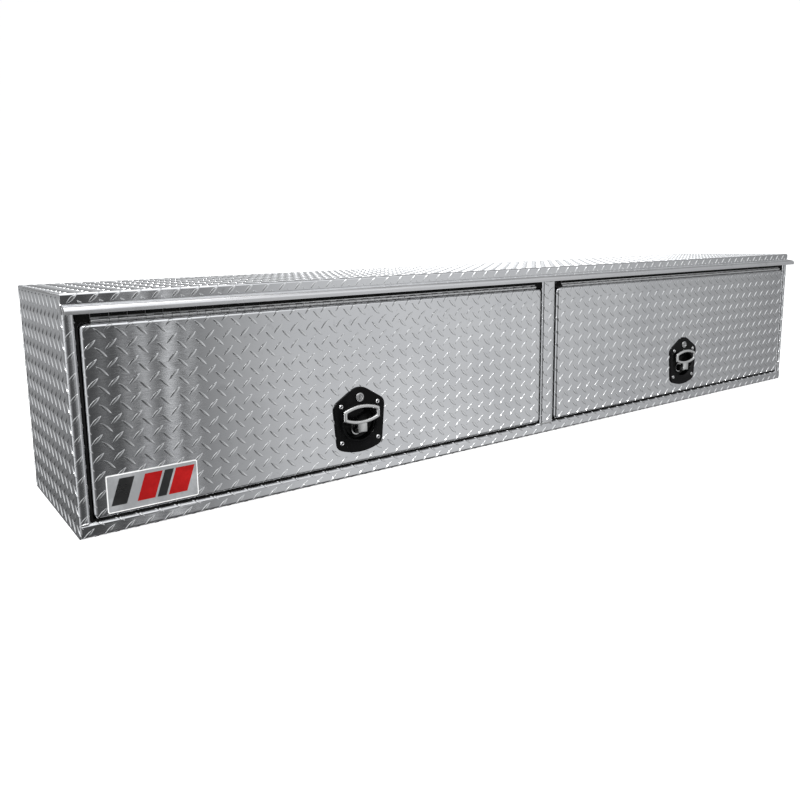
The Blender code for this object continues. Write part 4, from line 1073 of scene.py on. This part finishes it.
def sky():
    """Studio surroundings by direction: dark low on the left with upright stands, bright above."""
    world = bpy.data.worlds.new("studio")
    bpy.context.scene.world = world
    world.use_nodes = True
    n = Nodes(world.node_tree)
    n.tree.nodes.clear()

    def ramp(stops, low, high):
        made = n.node("ShaderNodeValToRGB")
        elements = made.color_ramp.elements
        while len(elements) > 1:
            elements.remove(elements[-1])
        for k, (degrees, value) in enumerate(stops):
            at = (degrees - low) / (high - low)
            element = elements[0] if k == 0 else elements.new(at)
            element.position = at
            element.color = (value * 0.985, value, value * 1.02, 1.0)
        n.feed(made.inputs[0], n.spread(turn, low, high))
        return made.outputs[0]

    way = n.node("ShaderNodeSeparateXYZ")
    n.feed(way.inputs[0], n.node("ShaderNodeTexCoord").outputs["Generated"])
    x, y, z = way.outputs
    turn = n.math("MULTIPLY", n.math("ARCTAN2", x, n.math("MULTIPLY", y, -1.0)), 180 / math.pi)
    within = n.math("MULTIPLY", n.math("GREATER_THAN", turn, STANDS[0]), n.math("LESS_THAN", turn, STANDS[1]))
    low_sky = n.mix(within, ramp(LOW_SKY, -180, 180), ramp(STANDS_SKY, *STANDS))
    high_sky = ramp(HIGH_SKY, -180, 180)
    colour = n.mix(n.spread(z, 0.13, 0.42, shape="SMOOTHSTEP"), low_sky, high_sky)
    # Dimmer just below the horizon behind the box, and straight down
    behind = n.spread(y, 0.1, 0.6, shape="SMOOTHSTEP")
    dimmed = n.math("MULTIPLY", behind, n.spread(z, -0.32, -0.04, 0.62, 0.0))
    strength = n.math("MULTIPLY", n.math("SUBTRACT", 1.0, dimmed), n.spread(z, -0.75, -0.4, 0.22, 1.0))
    glow = n.node("ShaderNodeBackground")
    n.feed(glow.inputs["Color"], colour)
    n.feed(glow.inputs["Strength"], strength)
    n.feed(n.node("ShaderNodeOutputWorld").inputs[0], glow.outputs[0])


def area(name, place, target, size, power):
    light = bpy.data.lights.new(name, "AREA")
    light.shape = "RECTANGLE"
    light.size, light.size_y = size
    light.energy = power
    obj = added(name, light)
    obj.location = place
    obj.rotation_euler = (Vector(target) - Vector(place)).to_track_quat("-Z", "Y").to_euler()


def studio():
    sky()
    area("softbox_left", (-1.95, -1.95, 2.35), (-0.5, -0.1, 0.15), (0.8, 0.8), 42)
    area("softbox_top", (-0.35, -0.4, 3.0), (-0.2, 0.0, 0.2), (1.4, 1.2), 10)
    ground = bpy.data.meshes.new("studio_floor")
    reach, floor_z = 30.0, -LOZENGE_HIGH - 0.0002
    corners = [(x * reach, y * reach, floor_z) for x, y in ((-1, -1), (1, -1), (1, 1), (-1, 1))]
    ground.from_pydata(corners, [], [[0, 1, 2, 3]])
    ground.materials.append(floor_finish())
    floor = added("studio_floor", ground)
    backdrop = bpy.data.meshes.new("studio_backdrop")
    bm = bmesh.new()
    bmesh.ops.create_uvsphere(bm, u_segments=48, v_segments=24, radius=reach)
    bmesh.ops.reverse_faces(bm, faces=bm.faces[:])
    bm.to_mesh(backdrop)
    bm.free()
    white = bpy.data.materials.new("backdrop_white")
    white.use_nodes = True
    shader = white.node_tree.nodes["Principled BSDF"]
    for key, value in (("Base Color", (0, 0, 0, 1)), ("Emission Color", (1, 1, 1, 1)), ("Emission Strength", 1.0)):
        shader.inputs[key].default_value = value
    backdrop.materials.append(white)
    dome = added("studio_backdrop", backdrop)
    for obj in (floor, dome):
        obj.visible_glossy = False
    dome.visible_diffuse = False
    dome.visible_shadow = False
    dome.visible_transmission = False


def camera():
    """The photograph's view: its place in metres, and its turns in radians."""
    eye = (-1.37628, -1.39144, 0.47477)
    azimuth, down, roll = 0.58792, 0.15774, -0.02283
    lens = bpy.data.cameras.new("photo_view")
    lens.sensor_width = 36.0
    lens.lens = 33.18
    lens.shift_x = 0.057
    lens.shift_y = -0.0504
    lens.clip_start = 0.02
    lens.clip_end = 200.0
    obj = added("photo_view", lens)
    ahead = Vector((math.sin(azimuth) * math.cos(down), math.cos(azimuth) * math.cos(down), -math.sin(down)))
    right = ahead.cross(Vector((0, 0, 1))).normalized()
    up = right.cross(ahead)
    leaned = math.cos(roll) * right + math.sin(roll) * up
    raised = math.cos(roll) * up - math.sin(roll) * right
    turn = Matrix((leaned, raised, -ahead)).transposed()
    obj.matrix_world = Matrix.Translation(eye) @ turn.to_4x4()
    bpy.context.scene.camera = obj


# ---- assembly

for node, look in CAD_LOOKS.items():
    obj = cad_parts[node]
    for slot in obj.material_slots:
        slot.material = LOOKS[look]
    weld = obj.modifiers.new("weld", "WELD")
    weld.merge_threshold = 0.00002
    even = obj.modifiers.new("even", "WEIGHTED_NORMAL")
    even.weight = 100
    for polygon in obj.data.polygons:
        polygon.use_smooth = True

tread_on_shell()
for side, name in SIDES.items():
    low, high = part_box(f"door_skin_{name}")
    middle = (low.x + high.x) / 2
    tread_on_door(name)
    latch_plate(name, middle)
    rivets(name, middle)
    lock_housing(name, middle)
    spindle(name, middle)
    ring_handle(name, middle)
    piano_hinge(name)
    # Near-black strips of painted shade in the door gap and under the drip rail
    gap_shade_strips(name)
    gas_strut(side)
gutter()
welds()
badge()
studio()
camera()
bpy.context.scene.view_settings.view_transform = "Standard"
